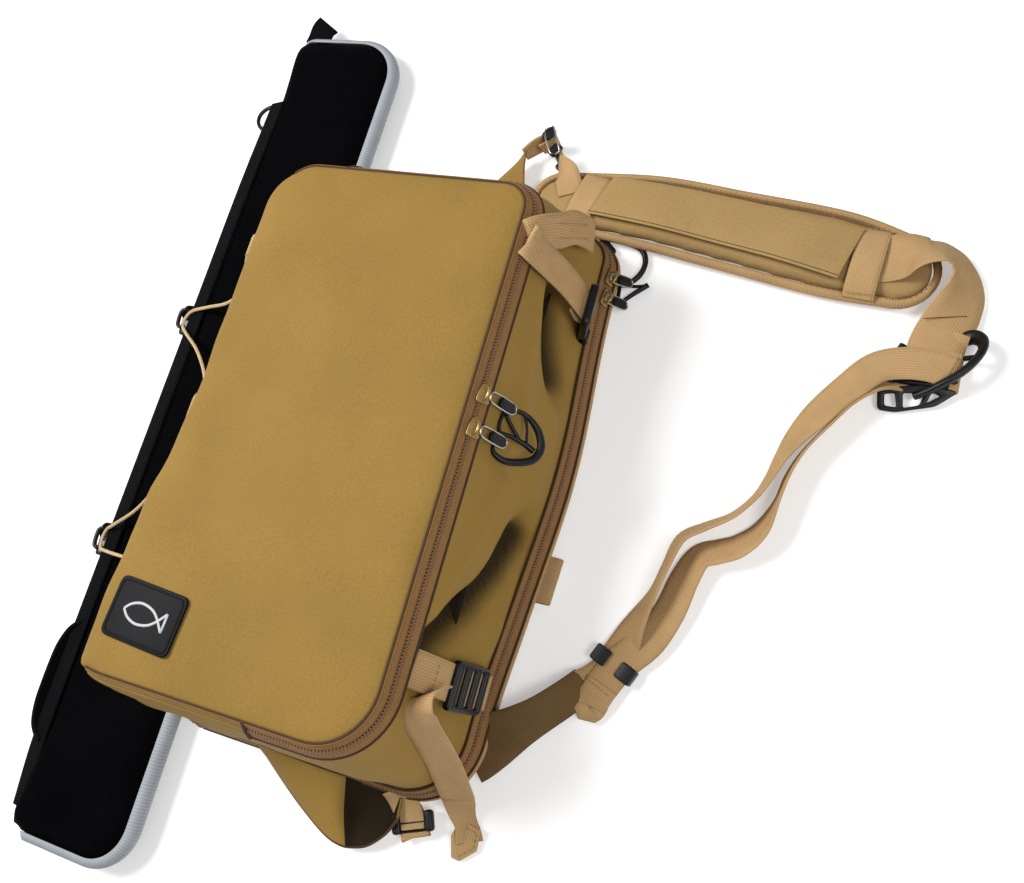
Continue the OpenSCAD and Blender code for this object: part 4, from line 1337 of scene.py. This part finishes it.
def zip_hardware():
    for name, y in (("upper", 44.0), ("lower", 20.0)):
        body = "top" if name == "upper" else "bottom"
        slider("front_slider_" + name, "front_slider_" + body, (103.4, y, 145.2), 50)
        pull("front_pull_" + name, "front_pull_" + body, (110.2, y, FRONT_ZIP_Z),
             (0.42, -0.04, -0.9), 22)
    for name, y in (("upper", 193.0), ("lower", 175.0)):
        body = "top" if name == "upper" else "bottom"
        out = bow(y, 1)
        slider("main_slider_" + name, "main_slider_" + body, (125.6 + out, y, MAIN_ZIP_Z), 72)
        pull("main_pull_" + name, "main_pull_" + body, (130.2 + out, y, MAIN_ZIP_Z),
             (0.55, 0.2 if name == "upper" else 0.1, -0.8), 20)
    turn = Matrix(((0.8, 0, 0.6), (0, 1, 0), (-0.6, 0, 0.8))).to_4x4()
    lay = Matrix.Translation((116, 36, 118)) @ turn
    leaf_clip("front_zip_clip", "front_pull_top", lay)
    shape = Shape("plastic")
    lay = place(0, 0, 4)
    ring_line = [(104, 234, 1.5), (112, 238, 1.6), (126, 236, 1.5), (140, 231, 1.3), (146, 220, 1.2),
                 (144, 208, 1.2), (137, 200, 1.1), (130, 198, 1.0), (121, 205, 1.0), (114, 216, 1.2)]
    rod_loop(shape, ring_line, lay, 2.0)
    rod_loop(shape, [(130, 198, 0.9), (131, 188, 0.9), (132, 180, 0.9), (142, 190, 1.0),
                     (153, 200.6, 1.2)], lay, 1.9, closed=False)
    rod_loop(shape, [(131, 197, 0.9), (141, 197.6, 0.8), (150, 199, 0.8)], lay, 1.7, closed=False)
    plate(shape, [box_loop(15, 12, radius=4)], 5.2, lay @ place(111, 227, 0.2, rz=-40), "plastic", 1.8)
    shape.make("main_zip_clip", "main_clip")


# ---------- rod case ----------
def case_line(inset, counts=(24, 150, 18, 150), corner=14, spine=0.0):
    """The case's outline in plan, drawn in by inset and out by spine at the folded edge."""
    line = outline(CASE_X0 + inset, CASE_X1 - inset, CASE_Y0 + inset, CASE_Y1 - inset,
                   (14 - inset * 0.4, 38 - inset, 48 - inset, 14 - inset * 0.4), counts, corner)
    return [(x + spine * smoothstep(0.3, 0.9, -nx) * nx, y, nx, ny) for x, y, nx, ny in line]


def rod_case():
    """Both padded leaves of the rod case, swollen by cloth pressure, and the ribbed binding."""
    for name, turn in (("rod_case_lower", -1), ("rod_case_upper", 1)):
        shape = Shape("case")
        rows = []
        for inset, rise in ((24, 1.6), (0.8, 0.8), (0.4, 3.6), (12, 9.0), (24, 11.2)):
            line = case_line(inset, (12, 60, 8, 60), 6, spine=0.34 * inset + 6)
            rows.append(ring(line, 0, CASE_MID + turn * rise))
        loft(shape, rows[::turn], "case")
        obj = shape.make(name, None)
        inflate(obj, 0.005, 0.0045, floor=0.0006)
        for v in obj.data.vertices:
            x, y, rise = v.co.x / MM, v.co.y / MM, turn * (v.co.z / MM - CASE_MID)
            rise += 0.9 * wrinkle(x * 0.6, y, 46, 9.3) * smoothstep(2, 9, rise)
            v.co.z = max((CASE_MID + turn * min(max(rise, 0.3), 15.4)) * MM, 0.0006)
        obj.data.materials.clear()
        obj.data.materials.append(M["case"])
        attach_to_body(obj, "back_section")
    shape = Shape("grey")
    line = case_line(0)
    start = next(i for i, p in enumerate(line) if p[3] < -0.9)
    end = max(i for i, p in enumerate(line) if p[2] > -0.9 and p[3] > -0.2)
    profile = [(0.4, 0), (0.0, 2.2), (-3.0, 4.6), (-7.4, 6.8), (-7.6, 6.0), (-3.6, 3.6),
               (-3.6, -3.6), (-7.6, -6.0), (-7.4, -6.8), (-3.0, -4.6), (0.0, -2.2)]
    verts, uvs, along = [], [], 0.0
    used = line[start:end + 1]
    for i, p in enumerate(used):
        q = used[max(i - 1, 0)]
        along += math.hypot(p[0] - q[0], p[1] - q[1])
        for k, (o, z) in enumerate(profile):
            verts.append((p[0] + p[2] * o, p[1] + p[3] * o, CASE_MID + z * 1.25))
            uvs.append((k, along))
    shape.skin(verts, len(profile), "grey", uvs)
    shape.make("rod_case_binding", "back_section")


def case_fittings():
    """The end tab, carry handle, D-ring and lacing hooks on the rod case's spine."""
    tab = Shape("case_web")
    band(tab, [[-231, 404, 17, 0], [-229, 412, 18, 0], [-227, 421, 19, 6], [-224, 427, 18.4, 10]],
         26, 2.6, "case_web")
    tab.make("rod_case_tab", "back_section")
    handle = Shape("case_web", "plastic")
    band(handle, [[-238, -176, 22, 0], [-247, -182, 21, 0], [-254, -190, 19, 0],
                  [-259, -203, 17.6, 0], [-260, -218, 17.4, 0], [-260, -234, 17.4, 0],
                  [-259, -250, 17.6, 0], [-254, -264, 19, 0], [-246, -272, 21, 0],
                  [-238, -276, 22, 0]], 20, 3, "case_web", steps=4, wide=(0, 0, 1))
    band(handle, [[-240, -330, 24, 0], [-241, -270, 29, 0], [-241, -190, 29.6, 0],
                  [-241, -90, 29.6, 0], [-241, 20, 29.6, 0], [-241, 130, 29.6, 0],
                  [-241, 240, 29.6, 0], [-240, 330, 28, 0]], 19, 1.8, "case_web", steps=4,
         wide=(1, 0, 0.35))
    handle.make("rod_case_handle", "back_section")
    ring_tab = Shape("case_web")
    band(ring_tab, [[-236, 319, 22, 0], [-244, 319, 22.4, 0], [-250, 319, 20.6, 0],
                    [-252, 319, 17.5, 0], [-250, 319, 14.4, 0], [-244, 319, 12.6, 0],
                    [-236, 319, 13, 0]], 22, 1.8, "case_web", wide=(0, 1, 0))
    ring_tab.make("d_ring_tab", "back_section")
    metal = Shape("plastic")
    loop = [(-248.5, 319 - 14, 17.5), (-248.5, 319 + 14, 17.5)]
    loop += [(-248.5 - 16.5 * math.sin(math.pi * i / 12), 319 + 14 * math.cos(math.pi * i / 12), 17.5)
             for i in range(1, 12)]
    tube(metal, loop, 1.9, "plastic", sides=10, closed=True)
    metal.make("d_ring", "ring")
    for name, y in (("lacing_hook_upper", 102), ("lacing_hook_lower", -107)):
        hook = Shape("plastic", "plastic_painted_highlight")
        lay = place(-254, y, 19, rz=4)
        plate(hook, [box_loop(15, 29, radius=3), box_loop(6, 9, x=-3, y=7, radius=2)], 9, lay,
              "plastic", 2)
        rod_loop(hook, [(-3, 9), (-7.6, 7), (-8.6, 0), (-7.6, -7), (-3, -9)], lay @ place(0, 0, 6.5), 1.9,
                 closed=False)
        # The grey patch is a painted highlight, the shiny facet of the black hook
        plate(hook, [box_loop(8, 10, radius=2)], 3, lay @ place(2, -7, 6), "plastic_painted_highlight", 0.9)
        hook.make(name, "back_section")


def lacing():
    """The cord that laces the rod case to the bag, and the webbing loops that it runs through."""
    loops = Shape("web")
    for y in (134, -1, -134):
        x = -116 - 4 * smoothstep(0, -130, y)
        band(loops, [[x + 6, y, 131, 0], [x - 5, y, 130.5, 0], [x - 13, y, 129, 0],
                     [x - 17, y, 125, 0], [x - 13, y, 121, 0], [x - 5, y, 119.6, 0],
                     [x + 6, y, 119, 0]], 14, 1.5, wide=(0, 1, 0), steps=4)
    loops.make("bungee_loops", "front_section")
    shape = Shape("cord")
    route = [[-130, 150, 118], [-132, 145, 125], [-132, 134, 125], [-132, 124, 124], [-138, 117, 112],
             [-160, 113, 84], [-190, 111, 58], [-222, 110, 42], [-246, 108, 31], [-256, 102, 25],
             [-254, 94, 27], [-238, 84, 38], [-208, 66, 52], [-172, 40, 76], [-146, 20, 104],
             [-133, 9, 124], [-132, -1, 125], [-133, -11, 124], [-146, -22, 104], [-172, -44, 76],
             [-208, -76, 52], [-238, -94, 38], [-252, -99, 28], [-257, -107, 24], [-252, -115, 28],
             [-238, -117, 38], [-208, -118, 52], [-172, -118, 78], [-146, -119, 104],
             [-137, -124, 123], [-136, -134, 125], [-136, -143, 124], [-133, -150, 117]]
    tube(shape, spline(route, 6), 1.5, "cord", sides=10)
    obj = shape.make("bungee_cord", None)
    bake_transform(obj)


BUILD_ORDER = (
    front_panel, front_seam, front_zip, left_hinge, front_patch, gusset, divider, main_zip,
    rear_gusset, back_panel, back_board, side_loop, top_wing, bottom_wing, corner_wing,
    shoulder_pad, pad_strips, pad_flap, top_links, top_glide, pad_end_webbing, quick_buckle,
    adjuster, keeper, upper_strap, lower_strap, bottom_links, zip_hardware,
    rod_case, case_fittings, lacing)

for build in BUILD_ORDER:
    build()
